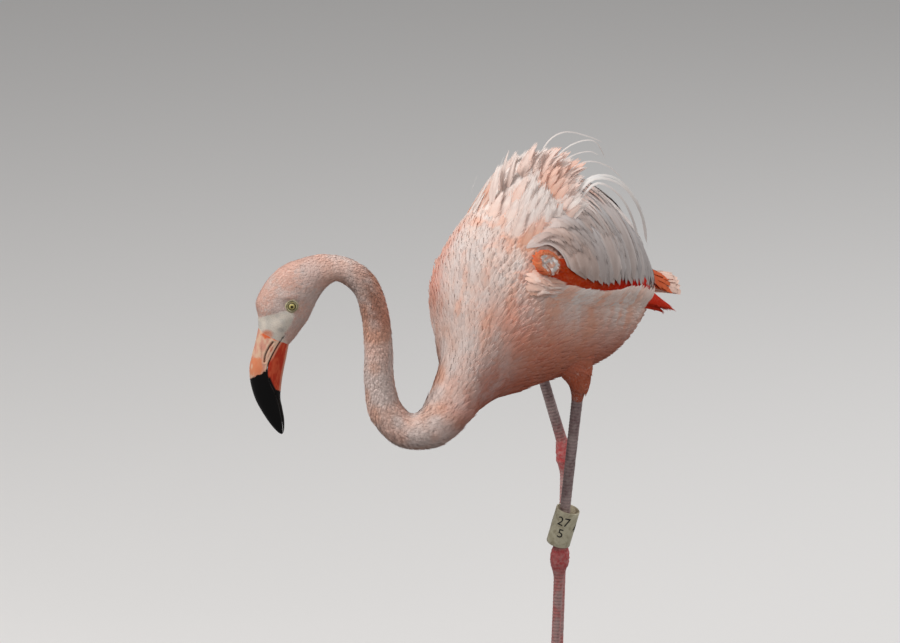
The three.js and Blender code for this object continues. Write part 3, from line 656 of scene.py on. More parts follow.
def foot_object(name, hand, closing, planted):
    """One foot in its own place: toes along -Y, knuckle above the origin, sole at height 0."""
    vertices, faces = [], []

    def put(v, f):
        offset = sum(len(a) for a in vertices)
        vertices.append(np.asarray(v))
        faces.extend(tuple(i + offset for i in face) for face in f)

    # each toe swells at its joints
    turns = [hand * spread * closing / DEGREES for _, spread in TOES]
    for (long, _), turn in zip(TOES, turns):
        path, radii, marks = [], [], [-3, 0.35 * long, 0.7 * long, long]
        for share in np.linspace(0, 1, 15):
            d = -3 + share * (long + 1)
            joint = 0.42 * math.cos(share * 4 * 2 * math.pi)
            path.append(toe_at(turn, d, np.interp(d, marks, [6.2, 4.1, 3.5, 2.7])))
            radii.append(np.interp(d, marks, [5.4, 4.0, 3.4, 2.4]) + joint)
        rings, _, _ = swept(path, radii, 12, 1.6, front=(0, 0, 1))
        put(*solid_tube(rings))
    # the web's edge hangs between the toes' ends, and rows of it run back to the knuckle
    ends = [toe_at(t, long - 3, 0) for (long, _), t in zip(TOES, turns)]
    edge = [v3(0, 6, 0)]
    for a, b in ((1, 0), (0, 2)):
        pull = (ends[a] + ends[b]) * 0.5 * 0.8
        for t in np.linspace(0, 1, 13)[: 13 if b == 2 else 12]:
            edge.append((1 - t) ** 2 * ends[a] + 2 * t * (1 - t) * pull + t * t * ends[b])
    web = np.array([np.array(edge) * share for share in np.linspace(0.05, 1, 24)])
    rows, columns = web.shape[:2]
    low, thick = 0.15 if planted else 2.2, 1.75
    ripple = 0.45 * np.sin(np.linspace(0, 8 * math.pi, rows))[:, None] * np.sin(np.linspace(0, 13, columns))
    top, bottom = web.copy(), web.copy()
    top[..., 2] = low + thick + ripple
    bottom[..., 2] = low
    n, last = rows * columns, (rows - 1) * columns
    upper = [tuple(q) for q in tube_faces(rows, columns)]
    lower = [tuple(i + n for i in q[::-1]) for q in upper]
    rim = [(n + last + j, n + last + (j + 1) % columns, last + (j + 1) % columns, last + j) for j in range(columns)]
    cap = [tuple(range(columns - 1, -1, -1)), tuple(range(n, n + columns))]
    put(np.vstack([top.reshape(-1, 3), bottom.reshape(-1, 3)]), upper + lower + rim + cap)
    hind = [(0, 3, 9), (hand * -3, 12, 7), (hand * -4, 18, 3.9)]
    if not planted:
        hind = [(0, 2, 4), (hand * -3, 6, -3), (hand * -4, 10.5, -8)]
    put(*solid_tube(swept(hind, [3.2, 2.6, 1.5], 10, 1.2, front=(0, 0, 1))[0]))
    knob = swept([v3(0, 2.5, 1.5 if planted else 1), v3(0, 0.5, 8), v3(0, 0, 15)], [5.5, 7.2, 5.6], 16, 1.2)[0]
    put(*solid_tube(knob))
    foot = make_object(name, np.vstack(vertices), faces)
    foot.modifiers.new("melt", "REMESH").voxel_size = 0.95 * MM
    soften = foot.modifiers.new("soften", "SMOOTH")
    soften.factor, soften.iterations = 0.5, 4
    graph = bpy.context.evaluated_depsgraph_get()
    mesh = bpy.data.meshes.new_from_object(foot.evaluated_get(graph))
    v = points_of(mesh)
    f = [tuple(p.vertices) for p in mesh.polygons]
    bpy.data.objects.remove(foot)
    bpy.data.meshes.remove(mesh)
    # scutes across the toes, wrinkles in the web, and their colours
    best, seam, on_toe = np.full(len(v), 1e9), np.zeros(len(v)), np.zeros(len(v))
    for (long, _), turn in zip(TOES, turns):
        along = -math.cos(turn) * v[:, 1] + math.sin(turn) * v[:, 0]
        off = np.abs(math.cos(turn) * v[:, 0] + math.sin(turn) * v[:, 1])
        closer = off < best
        best = np.where(closer, off, best)
        seam = np.where(closer, np.exp(-((((along / 2.6) % 1 - 0.5) / 0.2) ** 2)), seam)
        on_toe = np.where(closer, ease(4.6 - off, 0, 1.2) * ease(long + 2 - along, 0, 2), on_toe)
    upper = ease(v[:, 2], 1.8, 3)
    v[:, 2] -= 0.35 * seam * on_toe * upper * (v[:, 2] > 2)
    v[:, 2] = np.maximum(v[:, 2], 0.02) if planted else v[:, 2]
    tone = mixed(shade(214, 110, 112), shade(186, 96, 100), ease(clouds(v, 6, 41), 0.3, 0.8))
    tone = mixed(tone, shade(172, 120, 124), ease(clouds(v, (4, 12, 6), 42), 0.5, 0.9) * 0.6)
    tone = mixed(tone, tone * 0.5, seam * on_toe * upper * 0.8)
    return v, f, tone


def turned(points, matrix):
    """Points moved by a matrix."""
    return points @ np.array(matrix.to_3x3()).T + np.array(matrix.translation)


print("toes:", len(TOES), "longest, mm:", max(TOES)[0])

# %% [markdown]
# ## Placing the feet
# Both feet come from the same function, in a place of their own. A matrix turns each to where its leg ends. It is
# kept for the claws, which have to follow their toes.

# %% Both feet
planted = Matrix.Translation((3, 14, 0)) @ Matrix.Rotation(math.radians(-6), 4, "Z")
hanging = Matrix.Rotation(math.radians(86), 4, "X") @ Matrix.Translation((0, 0, -8))
lifted = Matrix.Translation(Vector(RIGHT["knuckle"])) @ hanging
foot_v, foot_f, foot_c = foot_object("foot", 1, 1, True)
lifted_v, lifted_f, lifted_c = foot_object("foot", -1, LIFTED_SPREAD, False)
foot_v, lifted_v = turned(foot_v, planted), turned(lifted_v, lifted)
lifted_v[:, 2] = np.maximum(lifted_v[:, 2], 0.3)
print("foot faces:", len(foot_f), len(lifted_f), "lowest:", foot_v[:, 2].min().round(2), lifted_v[:, 2].min().round(2))

# %% [markdown]
# ## One skin
# Body, legs and feet become a single object. Its points carry the pigment, and its faces carry a flat map of the
# skin: round the body one way and along it the other. The coat's feathers later look up their root on that map.


# %% Join the skin
def bed_map(columns, rows_at, left, width):
    """Corner coordinates of a tube's quads on the flat map, from left over width and at each row's height."""
    i, j = np.meshgrid(np.arange(len(rows_at) - 1), np.arange(columns), indexing="ij")
    u0, u1 = left + width * j / columns, left + width * (j + 1) / columns
    a, b = rows_at[i], rows_at[i + 1]
    return np.stack([np.stack([u0, a], -1), np.stack([u1, a], -1), np.stack([u1, b], -1), np.stack([u0, b], -1)], 2)


skin_v, skin_f, skin_c, skin_uv = [], [], [], []
LEG_LEFT, LEG_WIDTH = {"left": 0.67, "right": 0.81}, 0.12  # where the legs' strips lie on the flat map


def strip(count):
    """Heights on the flat map for the rings of a strip."""
    return np.linspace(0.01, 0.97, count)


def add_tube(rings, colours, along, left, width):
    """Adds a closed tube to the skin, with its colours and its strip of the flat map."""
    offset = sum(map(len, skin_v))
    rows, columns, _ = rings.shape
    v, f = solid_tube(rings)
    flipped = f[0] != tuple(tube_faces(rows, columns)[0])
    skin_v.append(v)
    skin_c.append(np.vstack([colours.reshape(-1, 3), colours[0].mean(0)[None], colours[-1].mean(0)[None]]))
    skin_f.extend(tuple(k + offset for k in face) for face in f)
    quads = bed_map(columns, along, left, width).reshape(-1, 4, 2)
    if flipped:
        quads = quads[:, ::-1]
    skin_uv.extend(quads.reshape(-1, 2))
    for face in f[len(quads):]:
        first_end = min(face) < columns or face[0] == rows * columns
        skin_uv.extend((left + width * (k % columns) / columns, along[0 if first_end else -1]) for k in face)


flat = skin_rings.reshape(-1, 3)
body_colour = mixed(coat_colour(flat), face_colour(flat), bare_share(flat)).reshape(*skin_rings.shape)
add_tube(skin_rings, body_colour, BODY_ALONG, 0.01, 0.64)
add_tube(left_leg, left_colour, strip(len(left_leg)), LEG_LEFT["left"], LEG_WIDTH)
add_tube(right_leg, right_colour, strip(len(right_leg)), LEG_LEFT["right"], LEG_WIDTH)
for hand, left in ((1, 0.652), (-1, 0.661)):  # the folded arm, a flat tube that backs the wing's coverts
    arm = []
    for f in np.linspace(84 if hand > 0 else 60, -146, 40):
        end = min(1, ((86 if hand > 0 else 62) - f) / 14, (f + 150) / 30) ** 0.5
        middle, out = on_side(f, wing_low(f) + 15, hand, -4)
        turn = np.arange(16)[:, None] / 16 * 2 * math.pi
        arm.append(middle + np.cos(turn) * out * 4.5 * end + np.sin(turn) * np.array([0, 0, 13]) * end)
    add_tube(np.array(arm), np.broadcast_to(WING_ORANGE, (40, 16, 3)), strip(40), left, 0.007)
for v, f, c, left in ((foot_v, foot_f, foot_c, 0.95), (lifted_v, lifted_f, lifted_c, 0.975)):
    offset = sum(map(len, skin_v))
    skin_v.append(v)
    skin_c.append(c)
    skin_f.extend(tuple(k + offset for k in face) for face in f)
    low, high = v.min(0), v.max(0)
    flat_map = (v - low) / (high - low)
    up_map = flat_map[:, 2 if high[2] > 50 else 1]
    skin_uv.extend((left + 0.02 * flat_map[k, 0], 0.01 + 0.3 * up_map[k]) for face in f for k in face)
skin = make_object("skin", np.vstack(skin_v), skin_f, np.vstack(skin_c))
bed = skin.data.uv_layers.new(name="OFBake")
bed.data.foreach_set("uv", np.array(skin_uv, np.float32).ravel())
print("skin faces:", len(skin.data.polygons))

# %% [markdown]
# ## Finishes
# Every finish starts from the pigment written on the points and adds what is too fine to model: pores and small
# scales in the skin, grain in the horn, barbs across a feather. Gloss is set on the shader itself, and only
# colour, roughness and relief are driven by nodes, so the finish survives being baked for other programs.


# %% A small kit for finishes
def new_finish(name, roughness, coat=0.0, coat_roughness=0.1, sheen=0.0, specular=0.5):
    """A material with its gloss set, and its shader."""
    material = bpy.data.materials.new(name)
    material.use_nodes = True
    shader = material.node_tree.nodes["Principled BSDF"]
    for socket, value in (
        ("Roughness", roughness),
        ("Coat Weight", coat),
        ("Coat Roughness", coat_roughness),
        ("Sheen Weight", sheen),
        ("Specular IOR Level", specular),
    ):
        shader.inputs[socket].default_value = value
    return material, shader


def node(owner, kind, inputs=None, **settings):
    """Adds a node to a material or a tree; inputs maps a socket's name or number to a value or a node's output."""
    tree = getattr(owner, "node_tree", owner)
    made = tree.nodes.new(kind)
    for key, value in settings.items():
        setattr(made, key, value)
    for key, value in (inputs or {}).items():
        if isinstance(value, bpy.types.NodeSocket):
            tree.links.new(value, made.inputs[key])
        else:
            made.inputs[key].default_value = value
    return made


def mix_colour(material, share, a, b, blend="MIX"):
    """Mixes two colours, each an output or three numbers."""
    a, b = (c if isinstance(c, bpy.types.NodeSocket) else (*c, 1) for c in (a, b))
    return node(material, "ShaderNodeMix", {0: share, 6: a, 7: b}, data_type="RGBA", blend_type=blend).outputs[2]


def ramp(material, value, stops):
    """A ramp; stops are (position, brightness or colour)."""
    made = node(material, "ShaderNodeValToRGB", {"Fac": value})
    band = made.color_ramp
    while len(band.elements) < len(stops):
        band.elements.new(0.5)
    for element, (position, tone) in zip(band.elements, stops):
        element.position = position
        element.color = (*np.broadcast_to(tone, 3), 1)
    return made.outputs["Color"]


def pigment_of(material):
    """The colour written on the points."""
    return node(material, "ShaderNodeAttribute", attribute_name="pigment").outputs["Color"]


def noise(material, coordinates, scale, detail=3.0, roughness=0.5):
    """Soft random values between 0 and 1."""
    inputs = {"Vector": coordinates, "Scale": scale, "Detail": detail, "Roughness": roughness}
    return node(material, "ShaderNodeTexNoise", inputs).outputs["Fac"]


def link(material, output, socket):
    material.node_tree.links.new(output, socket)


def relief(material, shader, height, strength, distance):
    """Fine bumps that change only how light falls."""
    bump = node(material, "ShaderNodeBump", {"Height": height, "Strength": strength, "Distance": distance})
    link(material, bump.outputs["Normal"], shader.inputs["Normal"])


def object_points(material):
    """Places on the object itself, so that a pattern stays on it from every side."""
    return node(material, "ShaderNodeTexCoord").outputs["Object"]


# %% [markdown]
# ## The finish of bare skin
# Bare skin is dull and slightly mealy. Small cells darken it like pores and raise a faint relief, and soft blotches
# pale it here and there. The colour itself was written on the points, so legs, face and lids share one finish.

# %% Skin finish
bare_skin, shader = new_finish("bare_skin", 0.55, sheen=0.08, specular=0.4)
place = object_points(bare_skin)
pigment = pigment_of(bare_skin)
pores = node(bare_skin, "ShaderNodeTexVoronoi", {"Vector": place, "Scale": 900.0}).outputs["Distance"]
blotch = noise(bare_skin, place, 260.0)
tone = mix_colour(bare_skin, ramp(bare_skin, blotch, [(0.35, 0.0), (0.75, 0.35)]), pigment, (0.8, 0.72, 0.68))
tone = mix_colour(bare_skin, ramp(bare_skin, pores, [(0.0, 0.35), (0.5, 0.0)]), tone, (0.25, 0.12, 0.10), "MULTIPLY")
link(bare_skin, tone, shader.inputs["Base Color"])
link(bare_skin, ramp(bare_skin, blotch, [(0.3, 0.42), (0.8, 0.66)]), shader.inputs["Roughness"])
relief(bare_skin, shader, pores, 0.35, 0.0004)
skin.data.materials.append(bare_skin)
print("nodes of the skin's finish:", len(bare_skin.node_tree.nodes))

# %% [markdown]
# ## Eyes and lids
# The eye is small, pale yellow and hard-edged, with a pinprick pupil inside a thin dark ring. It is a ball sunk in
# its socket, glossy as water, and a fleshy pale ring of lid lies on it. The rings of the iris are drawn by the
# distance from the line through both eyes, so one finish serves both and never swims with the camera.

# %% Eye balls
eye_finish, shader = new_finish("eye", 0.42, coat=0.12, coat_roughness=0.05, specular=0.2)
centre = head_point(0, EYE_RISE) * MM
towards_side = node(
    eye_finish,
    "ShaderNodeMapping",
    {"Vector": object_points(eye_finish), "Location": tuple(-centre)},
    vector_type="POINT",
)
level = node(
    eye_finish,
    "ShaderNodeVectorRotate",
    {"Vector": towards_side.outputs[0], "Axis": (0, 0, 1), "Angle": HEADING},
)
parts = node(eye_finish, "ShaderNodeSeparateXYZ", {"Vector": level.outputs[0]})
flat_place = node(eye_finish, "ShaderNodeCombineXYZ", {"X": parts.outputs["Y"], "Y": parts.outputs["Z"], "Z": 0.0})
radius_here = node(eye_finish, "ShaderNodeVectorMath", {0: flat_place.outputs[0]}, operation="LENGTH").outputs["Value"]
in_mm = node(eye_finish, "ShaderNodeMath", {0: radius_here, 1: 0.2 / MM}, operation="MULTIPLY").outputs[0]  # 5 mm is 1
EYE_RINGS = [  # place from the middle (0) to the lid (1), colour
    (0.0, (5, 4, 5)), (0.28, (7, 6, 6)), (0.32, (140, 122, 56)), (0.36, (214, 200, 120)), (0.42, (226, 216, 146)),
    (0.46, (120, 108, 62)), (0.50, (210, 200, 132)), (0.60, (214, 202, 138)), (0.66, (40, 34, 26)),
    (0.83, (26, 22, 18)), (0.88, (206, 198, 146)),
]
rings_of_eye = ramp(eye_finish, in_mm, [(place, shade(*colour)) for place, colour in EYE_RINGS])
spokes = noise(eye_finish, object_points(eye_finish), 1500.0)
link(
    eye_finish,
    mix_colour(eye_finish, ramp(eye_finish, spokes, [(0.4, 0.0), (0.7, 0.25)]), rings_of_eye, (0.55, 0.42, 0.15)),
    shader.inputs["Base Color"],
)


def eye_ball(hand):
    """A ball with a slightly proud cornea, its pole looking to the side."""
    angle = np.linspace(0.02, math.pi - 0.02, 30)
    axis = ASIDE * hand
    beside = np.cross(UP, axis)
    turn = np.arange(40) / 40 * 2 * math.pi
    rings = []
    for a in angle:
        bulge = 0.35 * math.exp(-((a / 0.75) ** 2))  # the cornea stands a little proud
        r = EYE_RADIUS * math.sin(a)
        h = EYE_RADIUS * math.cos(a) + bulge
        ring = np.cos(turn)[:, None] * beside + np.sin(turn)[:, None] * UP
        rings.append(head_point(0, EYE_RISE, hand * EYE_OUT) + axis * h + r * ring)
    v, f = solid_tube(np.array(rings))
    ball = make_object("eye_left_ball" if hand > 0 else "eye_right_ball", v, f)
    ball.data.materials.append(eye_finish)
    return ball


eyes = {hand: eye_ball(hand) for hand in (1, -1)}
print("faces of one eye:", len(eyes[1].data.polygons))

# %% [markdown]
# ## Lids
# The lid is a fleshy ring that climbs from the skin over the eye's edge and comes down on to the ball. Each of its
# circles is laid by looking from outside at the skin or at the ball, which leaves no gap at either. One circle
# pushed out of the face's own net would be simpler, but the net is too coarse there for a ring so thin.

# %% Lids
skin_tree = BVHTree.FromPolygons([Vector(p) for p in np.vstack(skin_v)], skin_f)
LID_CREST = 18.75  # how far the lid's highest ring lies out from the head's middle plane
LID_STEPS = [  # distance from the middle of the eye, height over the skin or over the crest, colour
    (8.2, -0.5, (208, 170, 150)), (7.4, 0.05, (206, 182, 150)), (6.8, 0.45, (196, 188, 150)),
    (6.3, 0.8, (206, 200, 156)), (5.95, 0.85, (128, 116, 84)), (5.55, 0.0, (66, 56, 42)),
    (5.2, -0.1, (206, 198, 144)), (4.85, -0.4, (206, 198, 144)), (4.6, -0.75, (140, 128, 88)),
    (4.4, -1.2, (50, 42, 34)),
]


def lid_ring(hand):
    """A soft ring from the skin up over the edge of the eye and down on to the ball."""
    turn = np.arange(56) / 56 * 2 * math.pi
    rows = []
    for radius, lift, _ in LID_STEPS:
        row = []
        for t in turn:
            stretch = 1 + 0.05 * math.cos(2 * t)
            x, y = radius * math.cos(t) * stretch, radius * math.sin(t) * (2 - stretch)
            hit = skin_tree.ray_cast(Vector(head_point(x, y + EYE_RISE, hand * 40)), Vector(-hand * ASIDE))[0]
            on_skin = abs(in_head(np.array(hit))[2])
            on_ball = EYE_OUT + math.sqrt(max(EYE_RADIUS**2 - x * x - y * y, 0.01))
            if radius > 5.6:
                share = ease(6.6 - radius, 0, 1.2)
                out = (on_skin + lift) * (1 - share) + LID_CREST * share
            else:
                out = max(LID_CREST + lift, on_ball + lift)
            wrinkle = 0.08 * math.sin(t * 17 + radius) * (radius > 5.1)
            row.append(head_point(x, y + EYE_RISE, hand * (out + wrinkle)))
        rows.append(row)
    rings = np.array(rows)
    v = rings.reshape(-1, 3)
    f = [tuple(q) for q in tube_faces(len(rings), len(turn))]
    if hand > 0:
        f = [q[::-1] for q in f]
    tone = [shade(*colour) for *_, colour in LID_STEPS]
    return v, f, np.repeat(np.array(tone), len(turn), 0)


lid_v, lid_f, lid_c = [], [], []
for hand in (1, -1):
    v, f, c = lid_ring(hand)
    lid_f += [tuple(k + sum(map(len, lid_v)) for k in face) for face in f]
    lid_v.append(v)
    lid_c.append(c)
lids = make_object("lids", np.vstack(lid_v), lid_f, np.vstack(lid_c))
lids.data.materials.append(bare_skin)
print("lid points:", len(lids.data.vertices))

# %% [markdown]
# ## The bill
# The bill bends down sharply at its middle, because the bird feeds with its head upside down. The deep lower half
# and the lid-like upper half meet along a curved mouth line. Both are nets of rings, cut where each slice crosses
# that line, so they fit each other all the way. A nostril slit and pale lips are pressed and tinted afterwards.

# %% Bill stations
BILL = [  # crown, throat, half width
    (35.6, -21.5, 2.4, -39.4, 13.6),
    (36.4, -24.5, 3.4, -41.6, 14.0),
    (40, -41.2, 4.9, -49, 14.2),
    (43, -52.5, 6.4, -57, 14),
    (45.7, -66, 8.6, -67.5, 13.6),
    (45.7, -77.5, 10.5, -78.2, 12.8),
    (44, -88, 12, -90.2, 11.6),
    (39.3, -103.2, 12.6, -101.3, 9.8),
    (30.3, -119.9, 10.6, -112.5, 7.8),
    (21.4, -132.8, 8.6, -124.6, 5.4),
    (14.2, -140.2, 8.6, -135.6, 2.4),
    (11.6, -141.4, 9.4, -139.8, 1.0),
]
MOUTH = [
    (2, -20.6), (14.3, -37.9), (21.4, -50.8), (25.9, -62), (26.2, -73.8), (23.2, -83.6), (18.9, -92.8), (15.3, -104.7),
    (12.8, -117.1), (10.8, -128.6), (9.6, -142.4),
]
NOSTRIL = [(20.3, -39.5), (24.6, -45.4), (28.6, -54.5), (29.6, -61.5)]
ACROSS = 56  # points over the outside of each ring; the rest close it inside the mouth


def bill_rings(half):
    """Rings of the upper (1) or lower (-1) half, in head directions: ahead, up, out."""
    s = np.linspace(0, len(BILL) - 1, 150)
    table = np.array(BILL, float)
    crown, throat = through(table[:, :2], s), through(table[:, 2:4], s)
    wide = through(np.repeat(table[:, 4:5], 3, 1), s)[:, 0]
    mouth = through(MOUTH, np.linspace(0, len(MOUTH) - 1, 500))
    rings = []
    for c, t, w in zip(crown, throat, wide):
        middle, rise = (c + t) / 2, (c - t) / 2
        h = np.linalg.norm(rise)
        rise = rise / h
        off = mouth - middle
        beside = np.abs(off @ np.array([-rise[1], rise[0]]))
        near = np.where(np.abs(off @ rise) <= 1.6 * h, beside, 99).argmin()
        q = np.clip((off[near] @ rise) / h + half * 0.22 / h, -0.93, 0.93)
        a0 = math.asin(q)
        ends = (a0, math.pi - a0) if half > 0 else (math.pi - a0, 2 * math.pi + a0)
        angle = np.linspace(*ends, ACROSS)
        arc = np.stack([w * np.cos(angle), h * np.sin(angle)], 1)
        left, right = arc[-1], arc[0]
        inner = np.linspace(0, 1, 12)[1:-1, None]
        floor_line = left * (1 - inner) + right * inner
        vault = np.sin(inner[:, 0] * math.pi) * min(0.16 * h, 1.4) * half
        floor_line[:, 1] += vault
        ring = np.vstack([arc, floor_line])
        rings.append(np.c_[middle + ring[:, 1:] * rise, ring[:, :1]])
    return np.array(rings)


print("rings and points of the upper half:", bill_rings(1).shape[:2])

# %% [markdown]
# ## The bill's surface
# The nostril is a slit with a raised rim, the lips are pale and a little proud, the mouth's line is a painted shadow,
# and black horn begins along a ragged edge. All of it is written by distance: from the mouth's line, from the slit,
# or from the edge of the black.


# %% Surface and markings of the bill
def bill_object(name, half):
    """One half of the bill, its nostril and lips pressed, its markings written on the points."""
    rings = bill_rings(half)
    x, y, out = rings[..., 0], rings[..., 1], rings[..., 2]
    seen = y - CHEEK_DROP * np.abs(out)
    flat = np.stack([x.ravel(), y.ravel(), np.abs(out).ravel()], 1)
    mouth = through(MOUTH, np.linspace(0, len(MOUTH) - 1, 240))
    slit = through(NOSTRIL, np.linspace(0, 3, 60))
    near = lambda points, line: np.sqrt(((points[:, None] - line[None]) ** 2).sum(-1)).min(1).reshape(x.shape)
    to_mouth, to_slit = near(flat[:, :2], mouth), near(np.c_[flat[:, 0], seen.ravel()], slit)
    surface = ease(np.abs(out) / np.abs(out).max(1, keepdims=True), 0.25, 0.6)
    push = np.zeros(x.shape)
    cloud = lambda size, seed: clouds(flat, size, seed).reshape(x.shape)
    ragged = 0.6 * cloud((2.0, 1.2, 3), 51) + 0.4 * cloud((0.9, 0.6, 2), 54) - 0.5
    if half > 0:
        push -= 1.6 * np.exp(-((to_slit / 0.8) ** 2)) * surface
        push += 0.5 * np.exp(-(((to_slit - 2.0) / 0.9) ** 2)) * surface
        push += 0.4 * np.exp(-(((to_mouth - 1.4) / 0.8) ** 2)) * ease(-y, 30, 44)
        push -= 0.5 * bump_at(x, seen, 33, -50, 2.2, 14) * surface
        edge = np.interp(x, [20, 26.2, 28.6, 35, 45.3, 50], [-64, -67.5, -71, -75, -79.7, -81]) + ragged * 4.2
        black = ease(edge - seen, 0, 0.7)
        tone = mixed(
            shade(236, 196, 168),
            shade(224, 160, 140),
            ease(0.6 * cloud((4, 6, 4), 52) + 0.4 * cloud((1.6, 4, 2), 55), 0.35, 0.65),
        )
        streak = 0.55 * cloud((2.2, 7, 3), 56) + 0.45 * cloud((1.2, 3, 2), 57)
        rust = shade(232, 112, 70)
        tone = mixed(tone, rust, ease(bump_at(x, seen, 26, -31, 6.5, 5.5) + 0.9 * (streak - 0.5), 0.38, 0.62))
        tone = mixed(tone, rust, ease(bump_at(x, seen, 17, -35, 6, 3.5) + 0.8 * (streak - 0.5), 0.42, 0.66) * 0.9)
        tone = mixed(
            tone, shade(238, 140, 96), ease(bump_at(x, seen, 38, -68, 10, 14) + 1.1 * (streak - 0.5), 0.42, 0.7) * 0.85
        )
        tone = mixed(
            tone, shade(214, 96, 66), ease(bump_at(x, seen, 22, -45, 2.6, 8) + 0.6 * (streak - 0.5), 0.4, 0.7) * 0.8
        )
        tone = mixed(tone, shade(242, 204, 178), np.exp(-(((to_mouth - 1.9) / 0.9) ** 2)) * 0.8)
        tone = mixed(tone, shade(240, 206, 180), np.exp(-(((to_slit - 1.8) / 0.8) ** 2)) * 0.75)
        tone = mixed(
            tone, shade(120, 82, 70), ease(bump_at(x, seen, 33, -50, 1.2, 14) + 0.5 * (streak - 0.5), 0.55, 0.9) * 0.4
        )
        tone = mixed(tone, shade(18, 12, 12), np.exp(-((to_slit / 0.8) ** 2)))
    else:
        edge = np.interp(x, [10, 12, 18.4, 24.7, 30], [-93, -93.6, -91.2, -78.1, -70]) + ragged * 3.0
        black = ease(edge - seen, 0, 0.7)
        black = np.maximum(black, ease(-seen, 76, 80) * ease(3.4 - to_mouth, 0, 1.4))
        tone = mixed(
            shade(206, 60, 34),
            shade(228, 94, 60),
            ease(0.5 * cloud((5, 8, 5), 52) + 0.5 * cloud((1.4, 3.5, 2), 58), 0.4, 0.7),
        )
        keel = np.interp(y, [-101, -90, -78, -67.5, -57, -49, -41.6], [12.6, 12, 10.5, 8.6, 6.4, 4.9, 3.4])
        tone = mixed(tone, shade(226, 160, 136), ease(3.0 - (x - keel), 0, 1.8) * 0.85)
        tone = mixed(tone, shade(240, 190, 160), np.exp(-(((to_mouth - 1.6) / 0.7) ** 2)) * ease(60 + y, 0, 10) * 0.8)
        push += 0.3 * np.exp(-(((to_mouth - 2.2) / 1.0) ** 2)) * ease(-y, 40, 50)
    tone = mixed(tone, shade(9, 8, 9), black)
    # painted shadow: a near-black line along the mouth, in the gap where the two halves meet
    tone = mixed(tone, shade(12, 8, 8), ease(0.95 - to_mouth, 0, 0.35))
    inside = np.zeros(x.shape)
    inside[:, ACROSS:] = 1
    tone = mixed(tone, shade(120, 60, 54), inside * (1 - black))
    grain = (cloud((1.6, 7, 1.6), 53) - 0.5) * 0.16
    rings[..., 2] += np.sign(out) * (push + grain) * (1 - inside) * surface
    world_points = rings[..., :1] * AHEAD + rings[..., 2:] * ASIDE + rings[..., 1:2] * UP + head_point(0, 0)
    v, f = solid_tube(world_points)
    colours = np.vstack([tone.reshape(-1, 3), tone[0].mean(0)[None], tone[-1].mean(0)[None]])
    made = make_object(name, v, f, colours)
    made.data.materials.append(horn)
    return made


# %% [markdown]
# ## The finish of horn
# Horn is polished where it is black and waxy where it is pink. Its grain runs along the bill as long thin streaks,
# so the noise is drawn out in height. The gloss follows the pigment's own brightness: one finish does both.

# %% Horn finish
horn, shader = new_finish("horn", 0.35, coat=0.04, coat_roughness=0.1, specular=0.28)
pigment = pigment_of(horn)
grain_place = node(horn, "ShaderNodeMapping", {"Vector": object_points(horn), "Scale": (1.0, 1.0, 0.22)})
grain = noise(horn, grain_place.outputs[0], 900.0, 4.0)
link(
    horn,
    mix_colour(horn, ramp(horn, grain, [(0.4, 0.0), (0.75, 0.22)]), pigment, (0.9, 0.72, 0.62), "SOFT_LIGHT"),
    shader.inputs["Base Color"],
)
darkness = node(horn, "ShaderNodeSeparateColor", {"Color": pigment}).outputs["Red"]
link(horn, ramp(horn, darkness, [(0.02, 0.2), (0.25, 0.42)]), shader.inputs["Roughness"])
relief(horn, shader, grain, 0.25, 0.0003)
bill_top = bill_object("bill_upper_horn", 1)
bill_under = bill_object("bill_lower_horn", -1)
print("bill faces:", len(bill_top.data.polygons), len(bill_under.data.polygons))

# %% [markdown]
# ## Claws
# Short blunt nails end the toes. They are horn, not skin, so they stay pieces of their own: a small tapered tube
# each, bent a little down, its root pushed into the toe.

# %% Claws
claw_finish, shader = new_finish("claw", 0.38, coat=0.2)
shade_noise = noise(claw_finish, object_points(claw_finish), 500.0)
claw_tone = mix_colour(claw_finish, shade_noise, shade(58, 42, 40), shade(98, 74, 70))
link(claw_finish, claw_tone, shader.inputs["Base Color"])
relief(claw_finish, shader, shade_noise, 0.2, 0.0002)


def claws(name, hand, closing, matrix):
    """Nails at the toes' ends, on a foot in its own place, then moved by the foot's matrix."""
    v_all, f_all = [], []
    for long, spread in TOES:
        turn = hand * spread * closing / DEGREES
        path = [
            toe_at(turn, long - 4, 2.9), toe_at(turn, long + 1, 2.7), toe_at(turn, long + 6, 2.0),
            toe_at(turn, long + CLAW, 0.85),
        ]
        rings, _, _ = swept(path, [1.5, 2.0, 1.5, 0.35], 12, 0.8, front=(0, 0, 1))
        v, f = solid_tube(rings)
        f_all += [tuple(k + sum(map(len, v_all)) for k in face) for face in f]
        v_all.append(v)
    v = turned(np.vstack(v_all), matrix)
    v[:, 2] = np.maximum(v[:, 2], 0.05)
    made = make_object(name, v, f_all)
    made.data.materials.append(claw_finish)
    return made


claws_left = claws("claws_left", 1, 1, planted)
claws_right = claws("claws_right", -1, LIFTED_SPREAD, lifted)
print("claw faces:", len(claws_left.data.polygons), len(claws_right.data.polygons))

# %% [markdown]
# ## Leg band
# Zoo birds wear a loose plastic ring above the ankle, so a keeper can read it from afar. The plastic is yellowed,
# stained and finely scratched: a wide noise gives the stains, and one drawn out along the leg gives the scratches.
# The numbers are made up, in an ink that has worn thin in places.

